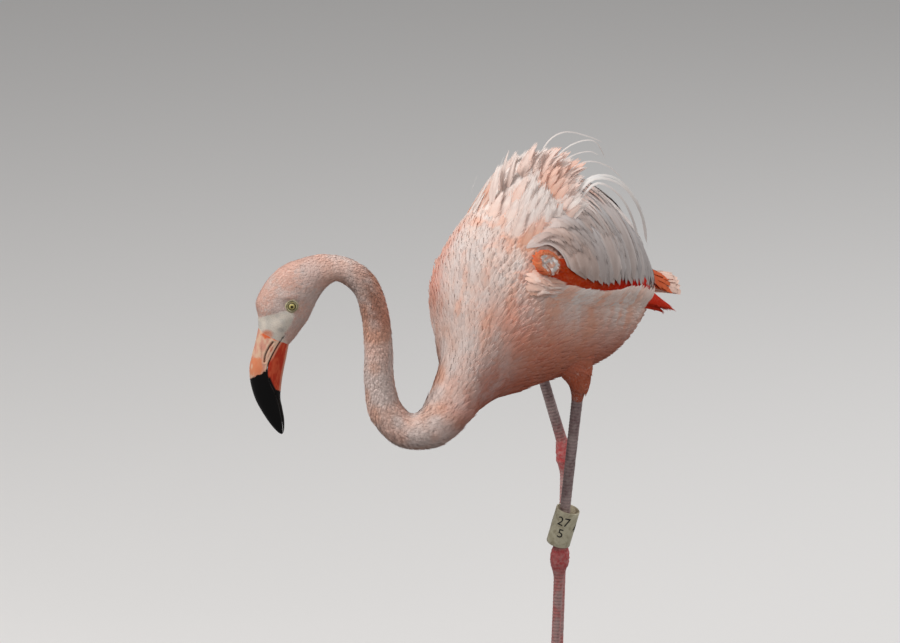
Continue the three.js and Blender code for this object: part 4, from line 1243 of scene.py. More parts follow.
# %% Finishes of the band
band_finish, shader = new_finish("band_plastic", 0.42, coat=0.15)
place = object_points(band_finish)
dirt = noise(band_finish, place, 160.0, 5.0, 0.6)
scratch_place = node(band_finish, "ShaderNodeMapping", {"Vector": place, "Scale": (1.0, 1.0, 0.15)})
scratches = noise(band_finish, scratch_place.outputs[0], 1400.0, 2.0)
base = mix_colour(
    band_finish, ramp(band_finish, dirt, [(0.45, 0.0), (0.72, 0.75)]), shade(226, 220, 192), shade(158, 146, 112)
)
base = mix_colour(band_finish, ramp(band_finish, scratches, [(0.62, 0.0), (0.75, 0.35)]), base, shade(120, 108, 84))
link(band_finish, base, shader.inputs["Base Color"])
link(band_finish, ramp(band_finish, dirt, [(0.3, 0.34), (0.8, 0.6)]), shader.inputs["Roughness"])
relief(band_finish, shader, scratches, 0.2, 0.0002)
ink, shader = new_finish("band_ink", 0.5)
worn = noise(ink, object_points(ink), 700.0, 3.0)
link(
    ink,
    mix_colour(ink, ramp(ink, worn, [(0.5, 0.0), (0.7, 0.5)]), shade(22, 20, 20), shade(84, 78, 66)),
    shader.inputs["Base Color"],
)
print("band finishes:", band_finish.name, ink.name)

# %% [markdown]
# ## The ring
# The ring is loose, so it leans on the ankle. Its wall is one small outline turned round the leg, with soft rims.
# A boolean cut would give it sharp rims that catch no light.

# %% The ring of the band
BAND_HEIGHT, BAND_INNER, BAND_WALL = 42, 11.6, 1.4
shank_up = unit(LEFT["cuff"] - LEFT["ankle"])
lean_axis = Vector((-0.643, 0.766, 0)).normalized()
band_up = Matrix.Rotation(math.radians(9.5), 3, lean_axis) @ Vector(shank_up)
band_middle = Vector(LEFT["ankle"] + shank_up * (16 + BAND_HEIGHT / 2))
band_turn = Vector((0, 0, 1)).rotation_difference(band_up).to_matrix().to_4x4()
band_place = Matrix.Translation(band_middle) @ band_turn
half, inner, outer = BAND_HEIGHT / 2, BAND_INNER, BAND_INNER + BAND_WALL
soft, round_off = 0.35, 0.4  # the rims' rounding, across and along
profile = [  # radius and height, once round the wall
    (inner, -half + round_off), (inner + soft, -half), (outer - soft, -half), (outer, -half + round_off),
    (outer, -half + 6), (outer, 0), (outer, half - 6), (outer, half - round_off),
    (outer - soft, half), (inner + soft, half), (inner, half - round_off), (inner, 0),
]
AROUND, corners = 72, len(profile)
turn = np.arange(AROUND) / AROUND * 2 * math.pi
rings = np.array([[(r * math.cos(a), r * math.sin(a), h) for r, h in profile] for a in turn])
faces = [tuple(q) for q in tube_faces(AROUND, corners)]
last = (AROUND - 1) * corners
faces += [(last + j, last + (j + 1) % corners, (j + 1) % corners, j) for j in range(corners)]
band_v = rings.reshape(-1, 3)
a, b, c = band_v[faces[3][0]], band_v[faces[3][1]], band_v[faces[3][2]]
if np.dot(np.cross(b - a, c - a), [a[0], a[1], 0]) < 0:
    faces = [q[::-1] for q in faces]
leg_band = make_object("leg_band_ring", turned(band_v, band_place), faces)
leg_band.data.materials.append(band_finish)
print("faces of the ring:", len(faces))

# %% [markdown]
# ## Digits
# Real letter shapes are cut into narrow columns, given a thickness and bent round the ring by angle, so each lies on
# the wall everywhere. They are sunk a little into it, which leaves no gap to look through.


# %% Digits round the ring
def text_slab(text, size):
    """Digits one unit thick, cut into narrow columns, so that they can bend round the ring."""
    curve = bpy.data.curves.new("digits", "FONT")
    curve.body, curve.size, curve.align_x, curve.align_y = text, size, "CENTER", "CENTER"
    curve.resolution_u = 6
    obj = bpy.data.objects.new("digits", curve)
    scene.collection.objects.link(obj)
    graph = bpy.context.evaluated_depsgraph_get()
    flat = bpy.data.meshes.new_from_object(obj.evaluated_get(graph))
    bpy.data.objects.remove(obj)
    work = bmesh.new()
    work.from_mesh(flat)
    bpy.data.meshes.remove(flat)
    bmesh.ops.triangulate(work, faces=work.faces)
    for cut in np.arange(-12, 12.1, 1.5):
        everything = work.verts[:] + work.edges[:] + work.faces[:]
        bmesh.ops.bisect_plane(work, geom=everything, plane_co=(cut, 0, 0), plane_no=(1, 0, 0))
    bmesh.ops.triangulate(work, faces=work.faces)
    slab = bmesh.ops.extrude_face_region(work, geom=work.faces[:])
    for v in slab["geom"]:
        if isinstance(v, bmesh.types.BMVert):
            v.co.z += 1
    bmesh.ops.recalc_face_normals(work, faces=work.faces)
    return work


DIGITS = [  # text, degrees round the ring from the side that the camera sees, height over the middle
    ("27", -8, 9.5), ("5", -8, -4.5), ("27", 172, 9.5), ("5", 172, -4.5), ("4", 68, 2), ("4", 248, 2),
]
RAISED, SUNK = 0.22, -0.3  # of the digits' two faces, against the ring's outside
SEEN_SIDE = math.radians(50)  # the camera looks at the ring from this far round the bird's left, in front
digit_v, digit_f = [], []
for text, start, height in DIGITS:
    work = text_slab(text, 14.5)
    offset = len(digit_v)
    for v in work.verts:
        angle = math.radians(start) - SEEN_SIDE + v.co.x / outer
        r = outer + (RAISED if v.co.z > 0.5 else SUNK)
        digit_v.append((r * math.cos(angle), r * math.sin(angle), height + v.co.y))
    work.verts.index_update()
    digit_f += [tuple(v.index + offset for v in face.verts) for face in work.faces]
    work.free()
digit_f.sort()  # so that they come in the same order in every run
digits = make_object("band_digits", turned(np.array(digit_v), band_place), digit_f, smooth=False)
digits.data.materials.append(ink)
print("digit faces:", len(digit_f))

# %% [markdown]
# ## One feather
# A feather is a shaft with barbs on both sides. On this bird the barbs hardly hook together, so the vanes look
# combed and frayed. A flat card with a painted edge would be lighter, but its edge would vanish in a bake. So the
# middle is a small arched sheet that ends in points, and loose barbs along both edges are slivers of their own.


# %% Feather patterns
def tuft_pattern(prongs, seed):
    """A tiny feather of the neck or head: a few curved points from one root."""
    rng = np.random.default_rng(seed)
    v, f = [], []
    for k in range(prongs):
        c = (k + 0.5) / prongs - 0.5
        x1, u = c * 1.0 + 0.08 * rng.normal(), 1 - 1.1 * c * c - 0.15 * rng.random()
        n = len(v)
        v += [
            (c * 0.45 - 0.12, 0, 0), (c * 0.45 + 0.12, 0, 0), (c * 0.95 + 0.15, 0.52 * u, 0.05),
            (c * 0.95 - 0.15, 0.5 * u, 0.05), (x1, u, -0.01),
        ]
        f += [(n, n + 1, n + 2, n + 3), (n + 3, n + 2, n + 4)]
    return np.array(v, float), f


def blade_pattern(rows, columns, seed, round_tip=0.5, splits=2):
    """A long closed vane with a ragged tip and a few splits along its edge."""
    rng = np.random.default_rng(seed)
    u = np.linspace(0, 1, rows) ** 0.9
    grid = np.zeros((rows, columns, 3))
    across = np.linspace(-0.5, 0.5, columns)
    rag = 0.010 * rng.normal(size=columns)
    for i, s in enumerate(u):
        w = (0.35 + 0.65 * ease(s, 0, 0.25)) * (1 - ease(s, 0.93, 1.01)) ** round_tip
        grid[i, :, 0] = across * max(w, 0.02)
        grid[i, :, 1] = s + rag * ease(s, 0.75, 1) - 0.03 * np.abs(across * 2) ** 2 * ease(s, 0.6, 1)
        grid[i, :, 2] = 0.05 * (1 - (2 * across) ** 2) * w
    v = grid.reshape(-1, 3).tolist()
    f = [tuple(q) for q in tube_faces(rows, columns, closed=False)]
    for _ in range(splits):  # loose slivers along the edge
        s, side, n = 0.45 + 0.5 * rng.random(), rng.choice([-1, 1]), len(v)
        w = 0.5 * (1 - ease(s, 0.62, 1.02)) ** round_tip
        v += [(side * w * 0.7, s - 0.05, 0.03), (side * w * 0.9, s - 0.03, 0.03), (side * (w + 0.06), s + 0.04, 0.02)]
        f.append((n, n + 1, n + 2) if side > 0 else (n, n + 2, n + 1))
    return np.array(v, float), f


print("faces in a tuft and a blade:", len(tuft_pattern(3, 0)[1]), len(blade_pattern(16, 7, 100)[1]))

# %% [markdown]
# ## A soft feather
# Most feathers of this bird are soft plumes. The inner part stays closed, so nothing shows through the coat; its end
# is torn into points, and the loose barbs leave both edges at a slant, as combed hair does.


# %% Plume pattern
def plume_pattern(rows, columns, hairs, seed, full=0.6, tip=0.8, arch=0.02, curl=0.06, spread=0.16, core=1.0):
    """A soft feather: a closed arched vane that ends in a few points, and loose barbs along both edges."""
    rng = np.random.default_rng(seed)
    width = lambda u: 0.5 * np.clip(np.sin(math.pi * np.clip(u, 0, 1) ** full), 0, 1) ** tip
    across = np.linspace(-1, 1, columns)
    v, f = [], [tuple(q) for q in tube_faces(rows, columns, closed=False)]
    for u in np.linspace(0.02, 0.88, rows):
        for x in across:
            back = 0.07 * x * x * ease(u, 0.4, 0.9)
            v.append((x * max(width(u) * core, 0.05), u - back, arch * (1 - x * x)))
    last = (rows - 1) * columns
    for j in range(columns - 1):
        middle = (across[j] + across[j + 1]) / 2
        n = len(v)
        v.append((middle * width(0.93) * core, 1.0 - 0.10 * middle**2 - 0.05 * rng.random(), 0.3 * arch))
        f.append((last + j, last + j + 1, n))
    for k in range(hairs):
        side = 1 if k % 2 else -1
        u = 0.12 + 0.74 * (k + rng.random()) / hairs
        end = min(u + spread * (0.8 + 0.5 * rng.random()), 1.0)
        w, n = width(u), len(v)
        w *= core
        v += [
            (side * w * 0.6, u, arch * 0.7),
            (side * w * 0.75, u + 0.08, arch * 0.6),
            (side * (width(end) + 0.02 + 0.08 * rng.random()), end, arch * rng.uniform(0.3, 0.5)),
        ]
        f.append((n, n + 1, n + 2))
    v = np.array(v, float)
    v[:, 2] -= curl * v[:, 1] ** 2
    return v, f


def pattern_faces_up(v, f):
    """Turns every face so that it looks up, away from the bird."""
    out = []
    for face in f:
        a, b, c = v[face[0]], v[face[1]], v[face[2]]
        flip = np.cross(b - a, c - a)[2] < 0
        out.append(tuple(face[::-1]) if flip else tuple(face))
    return out


print("faces in a plume:", len(plume_pattern(5, 3, 10, 60)[1]))

# %% [markdown]
# ## A bed for the feathers
# Feathers need a place, a direction and a size. The rings of the body give all three: every feather points away
# from the bill along the rings' rows, and its size follows from how far down the body it grows. These numbers are
# written on a copy of the skin, the bed, so that a node tree can read them wherever it drops a root.


# %% Bed
def write_attribute(mesh, name, kind, values):
    attribute = mesh.attributes.new(name, kind, "POINT")
    field = {"FLOAT": "value", "FLOAT_VECTOR": "vector"}[kind]
    attribute.data.foreach_set(field, np.asarray(values, np.float32).ravel())


def bed_object(name, rings, along, around, lie, reach, breadth, lift, density):
    """A sheet of rings with the feathers' numbers on its points and its place on the flat map.

    around gives each column's place on the map; one value more than columns closes the rings."""
    rows, columns, _ = rings.shape
    faces = tube_faces(rows, columns, closed=len(around) > columns)
    span = len(faces) // (rows - 1)
    i, j = np.repeat(np.arange(rows - 1), span), np.tile(np.arange(span), rows - 1)
    quads = np.stack([np.stack([around[j + a], along[i + b]], -1) for a, b in ((0, 0), (1, 0), (1, 1), (0, 1))], 1)
    v = rings.reshape(-1, 3)
    a, b, c = v[faces[:, 0]], v[faces[:, 1]], v[faces[:, 2]]
    middle = np.repeat(rings.mean(1)[:-1], span, 0)
    if np.einsum("ij,ij->", np.cross(b - a, c - a), a - middle) < 0:
        faces, quads = faces[:, ::-1], quads[:, ::-1]
    bed = make_object(name, v, faces)
    mesh = bed.data
    mesh.uv_layers.new(name="bed").data.foreach_set("uv", quads.reshape(-1).astype(np.float32))
    write_attribute(mesh, "lie", "FLOAT_VECTOR", lie.reshape(-1, 3))
    for key, value in (("reach", reach), ("breadth", breadth), ("lift", lift), ("thick", density)):
        write_attribute(mesh, key, "FLOAT", np.broadcast_to(value, (rows, columns)).reshape(-1))
    return bed


# %% [markdown]
# ## Laying a tract of feathers
# One node tree lays every tract of small feathers. It scatters roots no closer than a spacing, turns each feather
# along the lie and lifts its tip a little, varies its size, and turns all instances into real geometry. It also
# gives every feather a small patch of the flat map at its root. A particle system would be lost on export.


# %% Node tree that lays feathers
PATCH = 0.003  # side of one feather's patch on the flat map


def lay_tree():
    """Beds in, real feathers out; all it needs to know are its named inputs."""
    tree = bpy.data.node_groups.new("lay_feathers", "GeometryNodeTree")
    face = tree.interface
    face.new_socket("Geometry", in_out="OUTPUT", socket_type="NodeSocketGeometry")
    face.new_socket("Bed", in_out="INPUT", socket_type="NodeSocketGeometry")
    for title, kind in (
        ("Spacing", "NodeSocketFloat"),
        ("Disorder", "NodeSocketFloat"),
        ("Size Variation", "NodeSocketFloat"),
        ("Seed", "NodeSocketInt"),
        ("Feathers", "NodeSocketCollection"),
        ("Finish", "NodeSocketMaterial"),
    ):
        face.new_socket(title, in_out="INPUT", socket_type=kind)

    def add(kind, inputs=None, **settings):
        return node(tree, kind, inputs, **settings)

    def named(name, kind):
        return add("GeometryNodeInputNamedAttribute", {"Name": name}, data_type=kind).outputs["Attribute"]

    def maths(operation, a, b):
        return add("ShaderNodeMath", {0: a, 1: b}, operation=operation).outputs[0]

    def vector(operation, a, b=None, scale=None):
        inputs = {0: a}
        if b is not None:
            inputs[1] = b
        if scale is not None:
            inputs["Scale"] = scale
        return add("ShaderNodeVectorMath", inputs, operation=operation).outputs[0]

    def chance(low, high, seed):
        return add("FunctionNodeRandomValue", {2: low, 3: high, "Seed": seed}, data_type="FLOAT").outputs[1]

    def store(geometry, title, value, kind, domain):
        inputs = {"Geometry": geometry, "Name": title, "Value": value}
        return add("GeometryNodeStoreNamedAttribute", inputs, data_type=kind, domain=domain).outputs[0]

    start = tree.nodes.new("NodeGroupInput")
    given = start.outputs
    spacing = given["Spacing"]
    most = maths("DIVIDE", 4.0, maths("MULTIPLY", spacing, spacing))
    roots = add(
        "GeometryNodeDistributePointsOnFaces",
        {
            "Mesh": given["Bed"],
            "Distance Min": spacing,
            "Density Max": most,
            "Density Factor": named("thick", "FLOAT"),
            "Seed": given["Seed"],
        },
        distribute_method="POISSON",
    )
    stored = store(roots.outputs["Points"], "up", roots.outputs["Normal"], "FLOAT_VECTOR", "POINT")
    up = named("up", "FLOAT_VECTOR")
    aside = vector("CROSS_PRODUCT", up, named("lie", "FLOAT_VECTOR"))
    sway = chance(maths("MULTIPLY", given["Disorder"], -1), given["Disorder"], 11)
    heading = vector("NORMALIZE", vector("ADD", named("lie", "FLOAT_VECTOR"), vector("SCALE", aside, scale=sway)))
    rise = maths("MULTIPLY", named("lift", "FLOAT"), chance(0.6, 1.45, 12))
    heading = vector("NORMALIZE", vector("ADD", heading, vector("SCALE", up, scale=rise)))
    axes = {"Primary Axis": heading, "Secondary Axis": up}
    turn = add("FunctionNodeAxesToRotation", axes, primary_axis="Y", secondary_axis="Z")
    vary = chance(maths("SUBTRACT", 1, given["Size Variation"]), maths("ADD", 1, given["Size Variation"]), 13)
    long = maths("MULTIPLY", named("reach", "FLOAT"), vary)
    wide = maths("MULTIPLY", named("breadth", "FLOAT"), chance(0.85, 1.2, 14))
    size = add("ShaderNodeCombineXYZ", {"X": wide, "Y": long, "Z": long})
    kinds = add(
        "GeometryNodeCollectionInfo",
        {"Collection": given["Feathers"], "Separate Children": True, "Reset Children": True},
        transform_space="ORIGINAL",
    )
    which = add("FunctionNodeRandomValue", {4: 0, 5: 99, "Seed": 15}, data_type="INT")
    laid = add(
        "GeometryNodeInstanceOnPoints",
        {
            "Points": stored,
            "Instance": kinds.outputs[0],
            "Pick Instance": True,
            "Instance Index": which.outputs[2],
            "Rotation": turn.outputs[0],
            "Scale": size.outputs[0],
        },
    )
    number = store(laid.outputs[0], "feather", add("GeometryNodeInputIndex").outputs[0], "INT", "INSTANCE")
    root = store(number, "root", add("GeometryNodeInputPosition").outputs[0], "FLOAT_VECTOR", "INSTANCE")
    real = add("GeometryNodeRealizeInstances", {"Geometry": root})
    patch = vector("ADD", named("bed", "FLOAT_VECTOR"), vector("SCALE", named("vane", "FLOAT_VECTOR"), scale=PATCH))
    mapped = store(real.outputs[0], "OFBake", patch, "FLOAT2", "CORNER")
    finish = add("GeometryNodeSetMaterial", {"Geometry": mapped, "Material": given["Finish"]})
    end = tree.nodes.new("NodeGroupOutput")
    tree.links.new(finish.outputs[0], end.inputs[0])
    return tree


feather_tree = lay_tree()
inputs_of_tree = {item.name: item.identifier for item in feather_tree.interface.items_tree if item.in_out == "INPUT"}
print("tree inputs:", inputs_of_tree)

# %% [markdown]
# ## Running the tree
# The tree's result is taken as a plain mesh, so nothing has to be computed again later. Every feather then gets one
# colour of its own, read at its root and blended a little with the colour at each point. Reading only at the points
# would give smooth gradients and no single feathers.


# %% Feathers from a bed
def feather_kinds(name, patterns):
    """A collection of unit feathers, lying along Y, for the tree to choose from."""
    group = bpy.data.collections.new(name)
    for k, (v, f) in enumerate(patterns):
        mesh = bpy.data.meshes.new(f"{name}_{k}")
        mesh.from_pydata(v.tolist(), [], pattern_faces_up(v, f))
        write_attribute(mesh, "vane", "FLOAT_VECTOR", np.c_[v[:, 0] + 0.5, v[:, 1], np.zeros(len(v))])
        group.objects.link(bpy.data.objects.new(f"{name}_{k}", mesh))
    return group


def read(mesh, name):
    """An attribute of the mesh as an array, with three columns if it holds vectors."""
    attribute = mesh.attributes[name]
    if attribute.data_type == "FLOAT_VECTOR":
        values = np.zeros(len(attribute.data) * 3, np.float32)
        attribute.data.foreach_get("vector", values)
        return values.reshape(-1, 3)
    values = np.zeros(len(attribute.data), np.int32)
    attribute.data.foreach_get("value", values)
    return values


def lay_tract(name, bed, feathers, spacing, seed, disorder, variation):
    """Runs the tree on a bed, makes the result a plain mesh and gives every feather its colour."""
    run_on = bed.modifiers.new("lay", "NODES")
    run_on.node_group = feather_tree
    for title, value in (
        ("Spacing", spacing * MM),
        ("Disorder", disorder),
        ("Size Variation", variation),
        ("Seed", seed),
        ("Feathers", feathers),
        ("Finish", plumage),
    ):
        run_on[inputs_of_tree[title]] = value
    graph = bpy.context.evaluated_depsgraph_get()
    mesh = bpy.data.meshes.new_from_object(bed.evaluated_get(graph), depsgraph=graph)
    mesh.name = name
    vane, root, number = read(mesh, "vane"), read(mesh, "root") / MM, read(mesh, "feather")
    first = np.unique(number, return_index=True)[1]
    order = np.zeros(number.max() + 1, int)
    order[number[first]] = np.arange(len(first))
    colours = mixed(coat_colour(points_of(mesh)), coat_colour(root[first])[order[number]], 0.25)
    write_colour(mesh, feather_tint(colours, vane, number, seed))
    for spare in ("lie", "reach", "breadth", "lift", "thick", "up", "root", "feather"):
        if spare in mesh.attributes:
            mesh.attributes.remove(mesh.attributes[spare])
    made = bpy.data.objects.new(name, mesh)
    scene.collection.objects.link(made)
    bpy.data.objects.remove(bed)
    triangles = sum(len(p.vertices) - 2 for p in mesh.polygons)
    print(f"{name}: {len(first)} feathers, {triangles} triangles")
    return made


def feather_tint(colours, vane, number, seed):
    """Painted shade at the root, under the neighbouring feathers, paler at the fringe, and each feather a little
    different from its neighbour.
    """
    rng = np.random.default_rng(seed + 90)
    vary = rng.normal(0, 0.045, number.max() + 1)[number]
    along = vane[:, 1]
    edge = np.abs(vane[:, 0] - 0.5) * 2
    # painted shade: the root is up to an eighth darker, where neighbours overlap it
    light = (0.88 + 0.13 * ease(along, 0.0, 0.5)) * (1 + vary)
    pale = ease(along, 0.55, 1.0) * 0.12 + ease(edge, 0.5, 1.0) * 0.06
    return np.clip(mixed(colours * light[:, None], WHITE, pale), 0, 1)


# %% [markdown]
# ## The finish of feathers
# A feather is matt, with fine streaks along its barbs. The streaks follow the feather's own place, which every
# pattern carries on its points, so they run along each feather however it is bent. A little pale dust lies over all.

# %% Plumage finish
plumage, shader = new_finish("plumage", 0.8, sheen=0.015, specular=0.05)
pigment = pigment_of(plumage)
vane = node(plumage, "ShaderNodeAttribute", attribute_name="vane").outputs["Vector"]
barb_place = node(plumage, "ShaderNodeMapping", {"Vector": vane, "Scale": (34.0, 2.5, 1.0)})
barbs_fine = noise(plumage, barb_place.outputs[0], 1.0, 3.0)
tone = mix_colour(
    plumage, ramp(plumage, barbs_fine, [(0.42, 0.0), (0.72, 0.32)]), pigment, (0.70, 0.52, 0.46), "MULTIPLY"
)
dust = noise(plumage, object_points(plumage), 420.0, 2.0)
tone = mix_colour(plumage, ramp(plumage, dust, [(0.45, 0.0), (0.8, 0.06)]), tone, WHITE)
link(plumage, tone, shader.inputs["Base Color"])
link(plumage, ramp(plumage, barbs_fine, [(0.3, 0.66), (0.8, 0.88)]), shader.inputs["Roughness"])
relief(plumage, shader, barbs_fine, 0.3, 0.0003)
print("nodes of the feathers' finish:", len(plumage.node_tree.nodes))

# %% [markdown]
# ## Down of head and neck
# On head and neck the feathers are tiny and soft, like the nap of a peach. Thousands of three-pointed tufts, about
# one and a half millimetres apart, give that nap a real silhouette. Fur that short could be bump alone, but the
# neck is seen against the light, where bump shows nothing.

# %% Head and neck tract
lie_all = unit(
    np.concatenate([
        skin_rings[:1] - skin_rings[1:2], skin_rings[:-2] - skin_rings[2:], skin_rings[-2:-1] - skin_rings[-1:]
    ])
)
tufts = feather_kinds("tuft", [tuft_pattern(3, k) for k in range(5)])
rows = stations >= 9.0
s_here = stations[rows][:, None]
bare = bare_share(skin_rings[rows])
near_face = ease(in_head(skin_rings[rows])[0], -40, 20)
reach = np.interp(s_here, [9, 10.5, 13, 18, 21], [11, 8.5, 6.6, 6.2, 5.2]) - 1.9 * near_face
eye_x, eye_y, _ = in_head(skin_rings[rows])
round_eye = np.hypot(eye_x, eye_y - EYE_RISE)
neck_bed = bed_object(
    "neck_bed", skin_rings[rows], BODY_ALONG[rows], BODY_AROUND, lie_all[rows],
    reach * MM, reach * 0.42 * MM, 0.20 - 0.04 * near_face,
    ease(s_here, 9, 9.6) * (bare < 0.35) * ease(round_eye, 6.6, 7.2),
)
neck_coat = lay_tract("down_of_neck_and_head", neck_bed, tufts, 1.6, 5, 0.35, 0.25)

# %% [markdown]
# ## Breast, belly and flanks
# The trunk wears loose contour feathers as long as a thumb joint. They start short at the neck and grow towards
# the belly, and each half of the body is a piece of its own, so that no piece gets too heavy to handle. Where long
# back feathers will cover them, only a few are laid.

# %% Contour feathers
contours = feather_kinds("contour", [plume_pattern(5, 3, 10, 60 + k, full=0.62, tip=0.7, arch=0.018) for k in range(6)])


def covered(points):
    """1 where wing and long back feathers lie over the trunk."""
    x, f, z = points[..., 0], -points[..., 1], points[..., 2]
    front = np.where(x > 0, 68, 10)
    return ease(z - wing_low(f) - 6, 0, 14) * ease(front - f, -8, 14) * (1 - ease(f, 10, 40) * ease(z, 612, 640))


rows = stations <= 9.9
s_here = stations[rows][:, None]
reach = np.interp(s_here, [0, 2, 6, 8, 9.9], [20, 22, 19, 15, 9])
trunk_coats = []
for name, start, stop, seed in (("left", 0, SIDES // 2, 4), ("right", SIDES // 2, SIDES, 5)):
    columns = np.arange(start, stop + 1)
    rings = skin_rings[rows][:, columns % SIDES]
    bed = bed_object(
        "trunk_bed", rings, BODY_ALONG[rows], BODY_AROUND[columns], lie_all[rows][:, columns % SIDES],
        reach * MM, reach * 0.40 * MM, 0.12, (1 - 0.85 * covered(rings)) * (0.6 + 0.4 * ease(s_here, 4.0, 8.5)),
    )
    trunk_coats.append(lay_tract(f"contour_feathers_{name}", bed, contours, 2.3, seed, 0.13, 0.2))

# %% [markdown]
# ## Thighs
# Fine short feathers run down each thigh and end in a ragged cuff just above the bare shank, a detail that is
# easy to miss and that tells a real bird from a toy. The leg's own rings are their bed, as far as the cuff.


# %% Thigh tract
thigh_feathers = feather_kinds(
    "thigh", [plume_pattern(4, 3, 6, 80 + k, full=0.62, tip=0.7, arch=0.018, curl=0.2) for k in range(4)]
)
thigh_coats = []
for name, rings, leg in (("left", left_leg, LEFT), ("right", right_leg, RIGHT)):
    down = unit(leg["ankle"] - leg["cuff"])
    past = (rings.mean(1) - leg["cuff"]) @ down
    rows = past < 1.5
    ahead = np.gradient(rings, axis=0)
    normal = unit(np.cross(np.roll(rings, -1, 1) - np.roll(rings, 1, 1), ahead))
    back = v3(0, 1, -0.35)
    sweep = back - normal * (normal @ back)[..., None]  # above, they lie as the belly's feathers do
    high = ease(-past, 22, 38)[:, None, None]
    lie = unit(unit(ahead) * (1 - high) + sweep * high)[rows]
    near = [(Vector(p), *form_tree.find_nearest(Vector(p))[:2]) for p in rings[rows].reshape(-1, 3)]
    inside = np.array([(p - hit).dot(n) < -5.2 for p, hit, n in near]).reshape(rings[rows].shape[:2])
    size = np.interp(past[rows], [-40, -15, 1], [12, 8, 5])[:, None]
    around = LEG_LEFT[name] + LEG_WIDTH * np.arange(rings.shape[1] + 1) / rings.shape[1]
    bed = bed_object(
        "thigh_bed", rings[rows], strip(len(rings))[rows], around, lie,
        size * MM, size * 0.4 * MM, 0.05, 1.0 - inside,
    )
    thigh_coats.append(lay_tract(f"thigh_feathers_{name}", bed, thigh_feathers, 2.0, 21, 0.15, 0.25))

# %% [markdown]
# ## Long feathers along drawn paths
# Back, wing and tail feathers are long enough to bend with the body, so each follows a path of its own. A pattern
# drawn flat is carried on to the path: its length along it, its width across it, its bow away from the bird. All
# feathers of one kind are computed together as arrays, which takes a blink for hundreds of them.


# %% Carrying patterns on to paths
bed_lookup = KDTree(len(skin_v[0]))
for k, p in enumerate(skin_v[0]):
    bed_lookup.insert(p, k)
bed_lookup.balance()
bed_uv = np.stack(np.meshgrid(BODY_AROUND[:-1], BODY_ALONG), -1).reshape(-1, 2)
bed_uv = np.vstack([bed_uv, [[0.3, 0.01], [0.3, 0.99]]])
print("places to find a root on the flat map:", len(bed_uv))


def carry(name, feathers, seed):
    """One mesh of feathers; each is (path, directions away from the bird, width, patterns,
    (root colour, tip colour, colour of the edge))."""
    rng = np.random.default_rng(seed)
    all_v, all_f, all_c, all_uv, all_vane = [], [], [], [], []
    count = 0
    for path, out, width, patterns, colour in feathers:
        v, f = patterns[rng.integers(len(patterns))]
        steps = len(path)
        s = np.clip(v[:, 1], 0, 1.0) * (steps - 1)
        centre = through(path, s)
        ahead = unit(np.gradient(path, axis=0))
        beside = unit(np.cross(ahead, out))
        bow = unit(np.cross(beside, ahead))
        length = np.linalg.norm(np.diff(path, axis=0), axis=1).sum()
        i = np.clip(s.astype(int), 0, steps - 2)
        w = (s - i)[:, None]
        take = lambda a: unit(a[i] * (1 - w) + a[i + 1] * w)
        past = np.maximum(v[:, 1:2] - 1, 0) * length
        all_v.append(centre + take(beside) * v[:, :1] * width + take(bow) * v[:, 2:3] * width + take(ahead) * past)
        all_f.extend(tuple(q + count for q in face) for face in f)
        tone = mixed(colour[0], colour[1], ease(v[:, 1], 0.25, 0.95))
        tone = mixed(tone, colour[-1], ease(np.abs(v[:, 0]), 0.22, 0.45) * 0.7)
        all_c.append(tone * (1 + 0.04 * rng.normal()) * (1 + 0.04 * rng.normal(size=(len(v), 1))))
        vane = np.c_[v[:, 0] + 0.5, v[:, 1]]
        all_vane.append(np.c_[vane, np.zeros(len(v))])
        all_uv.append(bed_uv[bed_lookup.find(Vector(path[0]))[1]] + vane * PATCH)
        count += len(v)
    made = make_object(name, np.vstack(all_v), all_f, np.clip(np.vstack(all_c), 0, 1))
    write_attribute(made.data, "vane", "FLOAT_VECTOR", np.vstack(all_vane))
    corner = np.array([k for face in all_f for k in face])
    made.data.uv_layers.new(name="OFBake").data.foreach_set("uv", np.vstack(all_uv)[corner].astype(np.float32).ravel())
    made.data.materials.append(plumage)
    print(f"{name}: {len(feathers)} feathers, {sum(len(q) - 2 for q in all_f)} triangles")
    return made


def upward(patterns):
    """The patterns with all their faces looking up."""
    return [(v, pattern_faces_up(v, f)) for v, f in patterns]


def bezier(points, steps):
    """A smooth path that starts and ends at the outer points and is pulled by the ones between."""
    t = np.linspace(0, 1, steps)[:, None]
    p = [np.asarray(q, float) for q in points]
    while len(p) > 1:
        p = [a * (1 - t) + b * t for a, b in zip(p[:-1], p[1:])]
    return p[0]


def laid_on_side(flat, hand, lifts):
    """A path given in the side view laid on the trunk, with its outward directions."""
    lift = np.interp(np.linspace(0, 1, len(flat)), np.linspace(0, 1, len(lifts)), lifts)
    placed = [on_side(f, z, hand, l) for (f, z), l in zip(flat, lift)]
    path, out = np.array([p for p, _ in placed]), np.array([n for _, n in placed])
    for _ in range(3):
        path[1:-1] = (path[:-2] + 2 * path[1:-1] + path[2:]) / 4
        out[1:-1] = (out[:-2] + 2 * out[1:-1] + out[2:]) / 4
    return path, unit(out)


# %% [markdown]
# ## The long pale back feathers
# From under the crest a sheet of long white blades drapes back and down over the folded wing and ends in a row of
# points. Ten guide lines, drawn in the side view, say how the blades run; every blade takes a line between two
# guides. Layers lie less than a millimetre apart, the upper ones shorter, and soft short feathers cover the roots.

